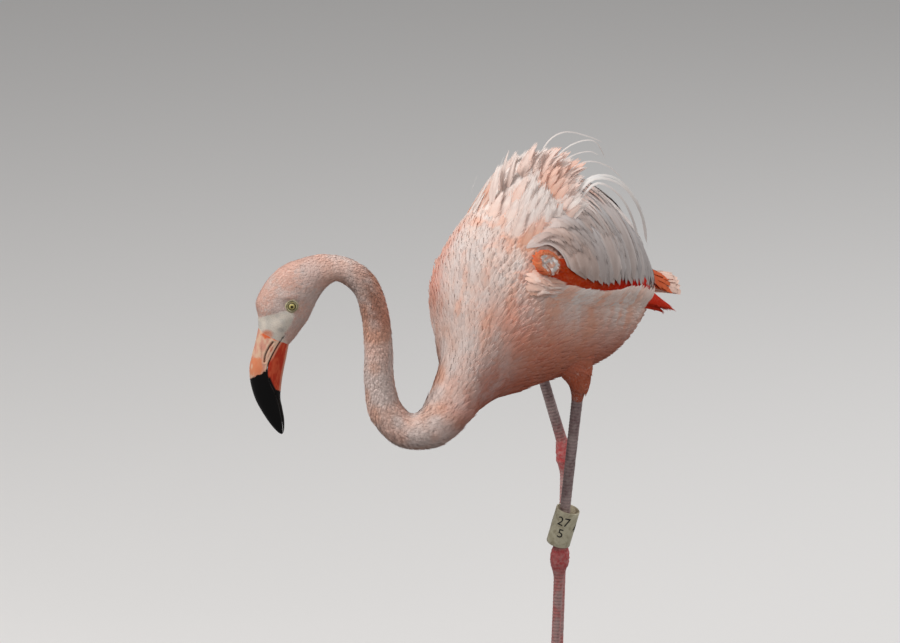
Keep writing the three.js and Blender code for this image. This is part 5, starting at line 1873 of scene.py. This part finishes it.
# %% Draped blades
GUIDES = [  # forward and height along the blade, from the shoulder to the tip
    [(84, 624), (68, 632), (57, 625), (52, 613), (53, 599)],
    [(72, 641), (53, 639), (42, 625), (37, 608), (38, 587)],
    [(54, 650), (33, 643), (23, 626), (17, 604), (18, 576)],
    [(32, 661), (7, 650), (-4, 631), (-8, 604), (-4, 570)],
    [(0, 668), (-20, 654), (-30, 630), (-31, 602), (-27, 566)],
    [(-26, 670), (-47, 654), (-58, 629), (-59, 600), (-53, 560)],
    [(-50, 670), (-76, 654), (-88, 629), (-88, 596), (-78, 554)],
    [(-64, 666), (-96, 646), (-110, 620), (-110, 586), (-100, 547)],
    [(-80, 657), (-116, 634), (-132, 606), (-135, 572), (-125, 541)],
    [(-95, 642), (-132, 614), (-152, 585), (-158, 558), (-150, 536)],
]
blades = upward([blade_pattern(16, 7, 100 + k, round_tip=0.55, splits=3) for k in range(6)])
strands = upward([
    plume_pattern(14, 3, 24, 105 + k, full=0.5, tip=0.5, arch=0.04, curl=0, spread=0.12, core=0.85) for k in range(5)
])
covers = upward([plume_pattern(7, 5, 12, 110 + k, full=0.7, tip=0.8, arch=0.05) for k in range(5)])
# each guide gets one more point, up under the crest, where a blade may start
guides = np.array([[np.array(g[0]) + 0.8 * (np.array(g[0]) - g[1]), *g] for g in GUIDES], float)


def along_guides(t, start, stop, steps):
    """A line between two guides (t counts guides), from start to stop; 1 is the root, 5 the tip."""
    line = through(guides.reshape(len(guides), -1), [t])[0].reshape(-1, 2)
    return through(line, np.linspace(start, stop, steps))


def drape_lifts(t, high, hand):
    """How high a blade lies at five places along it: in front its root dips under the shoulder's feathers."""
    back = ease(t, 3.5, 7) * (1 - 0.5 * ease(t, 7.5, 9))
    free = ease(t, 0.5, 3.5) if hand > 0 else ease(t, 2.5, 5)
    ridge = high + (6 if hand > 0 else 3) * back
    if hand < 0:
        high *= 0.5 + 0.5 * free
    return [
        -1.5 + (high - 1.5) * free, 3 + (ridge - 3) * free, (high + 3 * back) * (0.7 + 0.3 * free), high - 2 * back,
        high - 4 * back,
    ]


print("guides:", len(GUIDES), "points on each:", guides.shape[1])

# %% [markdown]
# ## Layers of blades
# Two layers of closed white blades lie lowest, three of looser strands above them, and short soft covers hide the
# roots. Each layer ends a little higher than the one below, as tiles do. One thick layer would look like a plate.

# %% Blades on both sides
LAYERS = [  # blades, where they end along the guides, how far short of it some stop, width
    (18, 5.0, 0.08, 27), (17, 4.93, 0.1, 26), (34, 4.6, 0.9, 17), (34, 4.0, 0.9, 15), (30, 3.2, 0.8, 14),
]


def draped(hand):
    """The blades of one side, and the short soft feathers over their roots."""
    rng = np.random.default_rng(31 if hand > 0 else 32)
    made = []
    for layer, (count, stop, spread, wide) in enumerate(LAYERS):
        for k in range(count):
            t = (k + 0.5 + rng.uniform(-0.3, 0.3)) / count * (len(guides) - 1)
            if t < (0.35 if hand > 0 else 2):
                continue
            high = 6.5 + 0.7 * layer + rng.uniform(0, 0.7)
            path, out = laid_on_side(
                along_guides(t, 0.3 + 0.12 * layer, stop - rng.uniform(0, spread), 16), hand,
                drape_lifts(t, high, hand),
            )
            base = mixed(WHITE, SILVER, 0.3 + 0.7 * rng.random())
            base = mixed(base, PALE, (0.6 if rng.random() < 0.35 else 0.12) * (1 - 0.5 * ease(t, 3, 6)))
            base = mixed(base, PEACH, 0.5 * (1 - ease(t, 1, 3.2)) * rng.uniform(0.6, 1))
            wide_here = wide * rng.uniform(0.9, 1.12) * (0.6 + 0.4 * ease(t, 0, 2))
            # the blades' tips are pinker and painted darker: painted shade on the sheet's lower part
            colour = base, mixed(base, PALE, 0.4) * 0.6, mixed(base, WHITE, 0.5) * 0.86
            made.append((path, out, wide_here, blades if layer < 2 else strands, colour))
    for layer, (count, start, stop) in enumerate(((24, 0.55, 2.5), (24, 0.2, 2.0))):
        for k in range(count):
            t = (k + 0.5 + rng.uniform(-0.4, 0.4)) / count * 6.5
            if t < (0.9 if hand > 0 else 2.6):
                continue
            low = drape_lifts(t, 9.2 + 0.5 * layer + rng.uniform(0, 0.8), hand)
            lifts = [
                -1.5, (low[0] + low[1]) / 2 + 1, 0.8 * low[1] + 0.2 * low[2] + 1.4, 0.2 * low[1] + 0.8 * low[2] + 0.2
            ]
            path, out = laid_on_side(along_guides(t, start, stop + rng.uniform(-0.2, 0.3), 10), hand, lifts)
            kind = rng.random()
            base = mixed(WHITE, PEACH if kind < 0.5 else ORANGE, 0.3 if kind < 0.75 else 0.6)
            made.append((path, out, rng.uniform(8, 12), covers, (base, mixed(base, WHITE, 0.55))))
    return made


drapes = {
    hand: carry(f"back_blades_{side}", draped(hand), seed=41 + hand) for hand, side in ((1, "left"), (-1, "right"))
}

# %% [markdown]
# ## Folded wing
# Below the drape runs a narrow band of orange-red wing coverts, from the rounded wrist back to the rump, and behind
# it the red points of the longest coverts. The wrist itself is a small dome: white down in a ring of orange
# feathers. Flank feathers grow up over the wing's lower edge and hide where it ends.


# %% Wing coverts
coverts = upward([plume_pattern(7, 5, 10, 120 + k, full=0.55, tip=0.6, arch=0.05) for k in range(5)])
points_red = upward([
    plume_pattern(11, 5, 6, 130 + k, full=0.55, tip=0.75, arch=0.08, curl=0, spread=0.08) for k in range(4)
])
down_tufts = upward([tuft_pattern(4, 160 + k) for k in range(5)])
lances = upward([
    plume_pattern(10, 3, 36, 140 + k, full=0.7, tip=0.85, arch=0.03, curl=0.05, spread=0.2, core=0.72) for k in range(6)
])
WRIST = np.array([77.0, 608.0])


def swell(f, z):
    """How far the wrist's dome stands out from the wing."""
    return 8.0 * math.exp(-(((f - WRIST[0]) / 12) ** 2) - ((z - WRIST[1]) / 11) ** 2)


def hand_swell(hand, f, z):
    """Only the left wrist shows; the right one stays under the breast feathers."""
    return swell(f, z) if hand > 0 else 0.0


def covert_rows(hand, rng):
    """Five rows of coverts, red behind and more orange in front."""
    made = []
    for row in range(5):
        for k in range(44):
            f = 92 - k * 5.5 - row * 2 + rng.uniform(-1.5, 1.5)
            z = wing_low(f) + 3 + 5.0 * row
            on_wrist = math.hypot(f - WRIST[0], z - WRIST[1]) < 10
            if hand < 0 and f > 56 or on_wrist or f < -50 - 12 * (4 - row) or f > 82 and row < 2:
                continue
            long = rng.uniform(22, 32)
            drop = (wing_low(f) - wing_low(f - long)) * (1 - 0.08 * row) - 1.5
            flat = bezier([(f, z), (f - long * 0.5, z - drop * 0.35), (f - long, z - drop)], 8)
            high = 1.8 + 0.5 * row
            path, out = laid_on_side(
                flat, hand, [high + hand_swell(hand, *flat[i]) + 0.8 * (i > 0) for i in (0, 2, 4, 7)]
            )
            base = mixed(WING_ORANGE, WING_RED, np.clip(ease(-f, -50, 60) * 0.85 + 0.25 * (rng.random() - 0.3), 0, 1))
            made.append((
                path,
                out,
                rng.uniform(8, 12),
                coverts,
                (base, mixed(base, ORANGE, 0.45 * rng.random() * ease(f, 10, 70))),
            ))
    return made


def long_coverts(hand, rng):
    """The long red coverts that show past the rump."""
    made = []
    for k in range(14):
        t = k / 13
        root = v3(hand * (66 - 12 * t), 62 + 16 * t, 550 + 6 * t - 4 * (k % 3))
        tip = v3(hand * (38 - 6 * t), 189 - 14 * t - 8 * (k % 3), 497 + 9 * t + 2 * (k % 2))
        path = bezier([root, (root + tip) / 2 + v3(hand * 6, 0, 5), tip], 12)
        base = mixed(WING_RED, WING_ORANGE, 0.4 * rng.random())
        made.append((
            path, np.repeat(unit(v3(hand, 0, 0.35 + 0.25 * t)[None]), 12, 0), rng.uniform(11, 14), points_red,
            (base, mixed(base, WING_ORANGE, 0.3)),
        ))
    return made


print("kinds of wing feathers:", len(coverts), len(points_red), len(down_tufts), len(lances))

# %% [markdown]
# ## The wrist
# Only the left wrist shows. Two rings of orange feathers turn round it like a wreath, white down fills the middle,
# and a pale tuft leaves the breast just below. The dome itself is a soft hill added to each feather's height.


# %% Wrist, flank and both wings
def wrist_ring(hand, rng):
    """Two rings of orange feathers round the wrist."""
    made = []
    for k in range(64):
        turn = 2 * math.pi * (k % 32 + rng.random()) / 32
        inner, outer = 8.8 + rng.uniform(-0.6, 0.6), (11.8 if k < 32 else 14.5) + rng.uniform(-0.8, 1)
        spin = [(inner, turn), ((inner + outer) / 2, turn + 0.3), (outer, turn + 0.6)]
        flat = bezier([(WRIST[0] + r * math.cos(a), WRIST[1] + r * 0.95 * math.sin(a)) for r, a in spin], 6)
        path, out = laid_on_side(flat, hand, [8.2 + swell(*flat[0]), 8.4 + swell(*flat[3]), 4.5 + swell(*flat[5])])
        base = mixed(WING_ORANGE, ORANGE, 0.2 + 0.5 * rng.random())
        made.append((
            path, out, rng.uniform(5, 7), coverts, (mixed(base, TAN, 0.3), mixed(base, WING_RED, 0.2 * rng.random()))
        ))
    return made


def wrist_down(hand, rng):
    """White down in the middle of the wrist."""
    made = []
    for _ in range(420):
        r, turn = math.sqrt(rng.random()), 2 * math.pi * rng.random()
        f, z = WRIST[0] + 9.0 * r * math.cos(turn), WRIST[1] + 1 + 11.0 * r * math.sin(turn)
        root, out = on_side(f, z, hand, 7.8 + swell(f, z))
        aim = unit(out * 0.12 + v3(0, 0.4, -0.7) + rng.normal(0, 0.16, 3))
        path = np.array([root + aim * s for s in (0, 3, 6)])
        tone = mixed(WHITE, ORANGE, 0.6 * ease(clouds(root[None], 4, 77)[0], 0.5, 0.62) + 0.2 * ease(r, 0.6, 1))
        made.append((
            path, np.repeat(out[None], 3, 0), rng.uniform(2.2, 3.2), down_tufts, (mixed(tone, MIST, 0.15), tone)
        ))
    return made


def wrist_tuft(hand, rng):
    """The pale tuft below the wrist."""
    made = []
    for _ in range(90):
        t = rng.random()
        root = np.array([108 - 12 * t + rng.uniform(-8, 5), 580 + 22 * t + rng.uniform(-3, 3)])
        tip = np.array([58 + 26 * rng.random(), 576 + 10 * t + rng.uniform(-2, 2)])
        high = 1 + 6 * rng.random()
        path, out = laid_on_side(bezier([root, (root + tip) / 2 + (0, 2), tip], 9), hand, [-3, high + 1, high + 1])
        base = mixed(PEACH, WHITE, 0.2 + 0.6 * rng.random())
        made.append((path, out, rng.uniform(6, 9), lances, (mixed(base, ORANGE, 0.25), base)))
    return made


def wing_feathers(hand):
    """All feathers of one wing."""
    rng = np.random.default_rng(51 if hand > 0 else 52)
    made = covert_rows(hand, rng) + long_coverts(hand, rng)
    if hand > 0:
        made += wrist_ring(hand, rng) + wrist_down(hand, rng) + wrist_tuft(hand, rng)
    return made


def flank_fringe(hand):
    """Soft feathers that rise over the wing's lower edge."""
    rng = np.random.default_rng(57 if hand > 0 else 58)
    made = []
    for row in range(4):
        for k in range(52):
            f = 84 - k * 4.6 + rng.uniform(-1.5, 1.5)
            low = wing_low(f)
            root = np.array([f + 10, low - 15 + 4 * row + rng.uniform(-1.5, 1.5)])
            rise = 3.2 * row - 3 * ease(f, 30, 70) - 4 * bump_at(f, 0, 14, 0, 34, 10) + 5 * ease(-f, 36, 62)
            tip = np.array([f - 14, wing_low(f - 14) - 5 + rise]) + rng.uniform(-1.2, 1.2, 2)
            high = -0.5 + 1.5 * row
            path, out = laid_on_side(
                bezier([root, (root + tip) / 2 - (0, 2.5), tip], 7), hand, [high - 4, high + 1.5, high + 1.6]
            )
            base = mixed(coat_colour(path[:1])[0], PALE, 0.3 * ease(-f, 20, 90) + 0.15 * rng.random())
            made.append((path, out, rng.uniform(5, 8), covers, (base, mixed(base, WHITE, 0.35))))
    return made


wings = {
    hand: carry(f"wing_coverts_{side}", wing_feathers(hand) + flank_fringe(hand), seed=53 + hand)
    for hand, side in ((1, "left"), (-1, "right"))
}

# %% [markdown]
# ## Tail
# A short fan of feathers folded like a low roof, orange above and pinkish white at the ends, mostly hidden by wings
# and rump.

# %% Tail fan
rng = np.random.default_rng(61)
feathers = []
for layer, (lift, long, count) in enumerate(((-3, 84, 13), (1, 79, 12), (6, 67, 10), (13, 58, 9), (20, 46, 8))):
    for k in range(count):
        across = 2 * k / (count - 1) - 1
        root = v3(across * 18, 136 + lift * 0.4, 540 + lift - 6 * across**2)
        tip = v3(
            across * 27, 138 + long * (1 - 0.16 * across**2), 530 + lift * 0.42 - 12 * across**2 + rng.uniform(-1, 1)
        )
        base = mixed(WING_ORANGE, WING_RED, 0.3 * rng.random())
        end = mixed(PALE, ORANGE, 0.15) if layer < 2 else mixed(WING_ORANGE, ORANGE, 0.3)
        out = np.repeat(unit(v3(across * 0.8, 0.2, 1)[None]), 10, 0)
        feathers.append((
            bezier([root, (root + tip) / 2 + v3(0, 0, 4), tip], 10), out, rng.uniform(14, 17), blades,
            (base if layer > 1 else mixed(base, PALE, 0.5), end),
        ))
tail = carry("tail_feathers", feathers, seed=62)

# %% [markdown]
# ## Ruffled mantle
# The pointed feathers of the upper back stand up like a crest, white and orange mixed. Rows are rooted across the
# back: flat on the shoulders, raised behind them, and leaning back more and more towards the tail. A slow noise
# bends neighbours the same way, so that they gather in locks.


# %% Mantle plumes
rng = np.random.default_rng(71)
feathers = []
for row in range(20):
    for k in range(21):
        across = np.clip(2 * (k + 0.5 * (row % 2)) / 20.5 - 1 + rng.uniform(-0.04, 0.04), -1, 1)
        ff = 124 - row * 5.4 + rng.uniform(-3, 3) - 6 * across**2
        x = across * np.interp(ff, [0, 60, 118], [46, 62, 52])
        hit, normal, _, _ = form_tree.ray_cast(Vector((x, -ff, 800)), Vector((0, 0, -1)))
        behind = hit is None or ff < 19 + 16 * across**2 + 6 * max(across, 0)
        if behind or rng.random() < ease(ff, 76, 108) or across < -0.7 and ff > 70:
            continue
        normal = np.array(normal)
        root = np.array(hit) - normal * 4
        ridge = 1 - abs(across) ** 2
        bend = clouds(root[None], 20, 5)[0] - 0.5, clouds(root[None], 20, 6)[0] - 0.5
        stand = np.interp(ff, [24, 45, 66, 90, 126], [0.95, 0.88, 0.45, 0.14, 0.03])
        stand *= 0.6 + 0.4 * ridge if across > 0 else 0.3 + 0.7 * ridge
        lean = np.interp(ff, [20, 32, 48, 75, 100], [2.1, 1.5, 0.8, 0.4, 0.1]) * (1 + 0.2 * max(across, 0))
        up = unit(v3(across * 0.3 + 0.5 * bend[0], lean + 0.6 * bend[1], 1.0))
        slope = unit(v3(0, 1, 0) - normal * normal[1])
        if ff > 60:
            slope = unit(v3(0, 0.6, 0.8) - normal * (0.6 * normal[1] + 0.8 * normal[2]))
        aim = unit(up * stand + (slope + normal * 0.08) * (1 - stand))
        long = np.interp(ff, [20, 34, 60, 80, 100, 124], [78, 64, 58, 52, 42, 30])
        flat = ease(ff, 50, 90)
        wave = 0.9 + 0.2 * clouds(root[None], 14, 9)[0]
        long *= rng.uniform(0.84, 1.04) * (1 - 0.12 * max(across, 0) * (1 - flat)) * wave
        low = unit(slope + normal * (0.28 - 0.2 * flat)) * 0.35
        path = bezier([root, root + low * long, root + aim * long * 0.8, root + aim * long + slope * long * 0.08], 10)
        kind = 0.8 * ease(clouds(root[None], 15, 7)[0], 0.25, 0.75) + 0.2 * rng.random()
        base = mixed(mixed(WHITE, PALE, 0.25), PEACH, 0.6 * ease(kind, 0.3, 0.6))
        base = mixed(base, ORANGE, ease(kind, 0.58, 0.85) * 0.45)
        out = np.repeat(unit((normal + v3(rng.uniform(-0.2, 0.6), -0.6, 0.1) * stand)[None]), 10, 0)
        edge = mixed(base, ORANGE, 0.05 + 0.2 * ease(kind, 0.3, 0.6))
        feathers.append((
            path, out, rng.uniform(15, 20) * (0.7 + 0.3 * long / 50), lances,
            (mixed(base, PEACH, 0.2), mixed(base, WHITE, 0.35), edge),
        ))
print("plumes in rows:", len(feathers))

# %% [markdown]
# ## Larger locks and the saddle
# The crest's outline is made by twelve larger locks, so their roots and tips are given one by one, and each is a
# small bundle whose feathers scatter round the first. The saddle's feathers simply follow the back.

# %% Locks and saddle
LOCKS = [  # root: left, forward; tip: left, forward, height; share of orange
    (-4, 76, -5, 62, 702, 0.1), (0, 66, 0, 50, 717, 0.0), (4, 58, 5, 42, 712, 0.2), (6, 44, 8, 13, 720, 0.55),
    (10, 40, 13, 6, 711, 0.3), (14, 34, 20, -11, 711, 0.5), (22, 28, 26, -27, 698, 0.7), (30, 24, 34, -45, 686, 0.45),
    (36, 28, 40, -30, 680, 0.6), (-14, 46, -16, 18, 708, 0.3), (-24, 36, -28, -8, 696, 0.2),
    (-34, 30, -38, -28, 680, 0.4),
]
for left, front, tip_left, tip_front, height, orange in LOCKS:
    for k in range(2 if front > 50 else 5):
        x, f = left + rng.uniform(-5, 5), front + rng.uniform(-4, 4)
        hit, normal, _, _ = form_tree.ray_cast(Vector((x, -f, 800)), Vector((0, 0, -1)))
        root = np.array(hit) - np.array(normal) * 3
        tip = v3(tip_left, -tip_front, height)
        if k:
            tip = tip + rng.normal(0, 3, 3) + (root - tip) * rng.uniform(0.03, 0.22)
        span = np.linalg.norm(tip - root)
        low = root + (tip - root) * 0.35 + v3(0, -0.08, 0.14) * span
        high = root + (tip - root) * 0.75 + v3(0, -0.04, 0.08) * span
        path = bezier([root, low, high, tip], 12)
        base = mixed(mixed(WHITE, PALE, 0.3), ORANGE, orange * rng.uniform(0.2, 0.6))
        out = np.repeat(unit(v3(rng.uniform(-0.2, 0.4), -1, 0.5)[None]), 12, 0)
        wide = rng.uniform(6, 8) if front > 50 else rng.uniform(12, 16)
        feathers.append((
            path, out, wide, lances, (mixed(base, PEACH, 0.2), mixed(base, WHITE, 0.4), mixed(base, WHITE, 0.3))
        ))
for k in range(90):  # a saddle of long pale feathers along the ridge
    x, start = rng.uniform(-42, 42), rng.uniform(-50, 22)
    line = []
    for f in np.linspace(start, max(start - 85, -150), 8):
        hit = form_tree.ray_cast(Vector((x, -f, 800)), Vector((0, 0, -1)))[0]
        line.append(v3(x, -f, (hit[2] if hit else 545) + 2 + (10.5 - 0.06 * abs(x)) * ease(start - f, 0, 30)))
    base = mixed(WHITE, PALE, rng.random())
    feathers.append((
        np.array(line), np.repeat(unit(v3(x / 60, 0.2, 1)[None]), 8, 0), rng.uniform(15, 20), blades,
        (base, WHITE, WHITE),
    ))
mantle = carry("mantle_plumes", feathers, seed=72)

# %% [markdown]
# ## Worn threads
# A few worn feathers have lost their barbs, and their bare shafts arch over the back. Each is a narrow blade on a
# line of its own, given point by point, because a scatter would not put them where they cross the background.

# %% Worn threads over the back
thread = upward([blade_pattern(18, 3, 150, round_tip=1.0, splits=0)])
THREADS = [  # width, then points of the line: to the left, forward, height
    (1.6, [(10, 24, 664), (6, 10, 696), (5, -10, 716), (5, -36, 721), (5, -71, 711), (5, -107, 695)]),
    (1.5, [(14, 14, 664), (10, -4, 688), (10, -40, 706), (10, -82, 703), (10, -102, 678)]),
    (1.3, [(18, 16, 664), (15, -2, 685), (15, -38, 696), (15, -68, 695), (15, -85, 687)]),
    (1.7, [(28, 18, 662), (25, -6, 677), (25, -47, 689), (25, -86, 677), (25, -113, 657)]),
    (3.2, [(44, 6, 656), (42, -36, 676), (42, -80, 667), (42, -118, 630), (42, -134, 583)]),
    (3.4, [(48, 8, 652), (46, -34, 675), (46, -85, 659), (46, -118, 621), (46, -128, 583)]),
    (3.0, [(52, 6, 650), (50, -36, 671), (50, -76, 650), (50, -100, 616), (50, -110, 583)]),
    (3.0, [(-44, 6, 656), (-42, -36, 676), (-42, -83, 666), (-42, -123, 628), (-42, -138, 584)]),
    (2.6, [(-50, 6, 650), (-50, -36, 669), (-50, -76, 648), (-50, -100, 616), (-50, -112, 585)]),
    (1.4, [(-6, 60, 660), (-10, 56, 690), (-12, 44, 708)]),
    (1.4, [(-22, 84, 646), (-24, 84, 672), (-22, 78, 690)]),
]
feathers = []
for width, line in THREADS:
    line = np.array(line, float) * (1, -1, 1)
    path = through(line, np.linspace(0, len(line) - 1, 20))
    feathers.append((
        path, np.repeat(v3(math.copysign(0.7, line[0, 0]), -0.5, 0.7)[None], 20, 0), width, thread, (WHITE, WHITE)
    ))
threads = carry("worn_threads", feathers, seed=73)

# %% [markdown]
# ## Riding and replacing
# The still bird has one body to ride on, and every piece is attached to it. Each piece is listed with its slot,
# a name for its finish, and with the simple solids it stands in for, which are hidden.

# %% Ride and replace
FLESH = (
    "trunk neck_lower neck_middle neck_upper head thigh_left thigh_right shank_left shank_right "
    "ankle_left ankle_right tarsus_left tarsus_right foot_left foot_right"
)
for piece, slot, replaced in (
    (skin, "bare_skin", FLESH),
    (lids, "bare_skin", ""),
    (eyes[1], "iris", "eye_left"),
    (eyes[-1], "iris", "eye_right"),
    (bill_top, "bill_base", "bill_upper"),
    (bill_under, "bill_red", "bill_lower"),
    (claws_left, "bill_base", ""),
    (claws_right, "bill_base", ""),
    (leg_band, "band", "leg_band"),
    (digits, "band", ""),
    (neck_coat, "plumage", ""),
    (trunk_coats[0], "plumage", ""),
    (trunk_coats[1], "plumage", ""),
    (thigh_coats[0], "plumage", ""),
    (thigh_coats[1], "plumage", ""),
    (drapes[1], "plumage", "tertials_left"),
    (drapes[-1], "plumage", "tertials_right"),
    (wings[1], "plumage", "wing_left"),
    (wings[-1], "plumage", "wing_right"),
    (tail, "plumage", "tail"),
    (mantle, "plumage", "mantle"),
    (threads, "plumage", ""),
):
    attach(piece, "root")
    if replaced:
        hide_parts(*replaced.split())
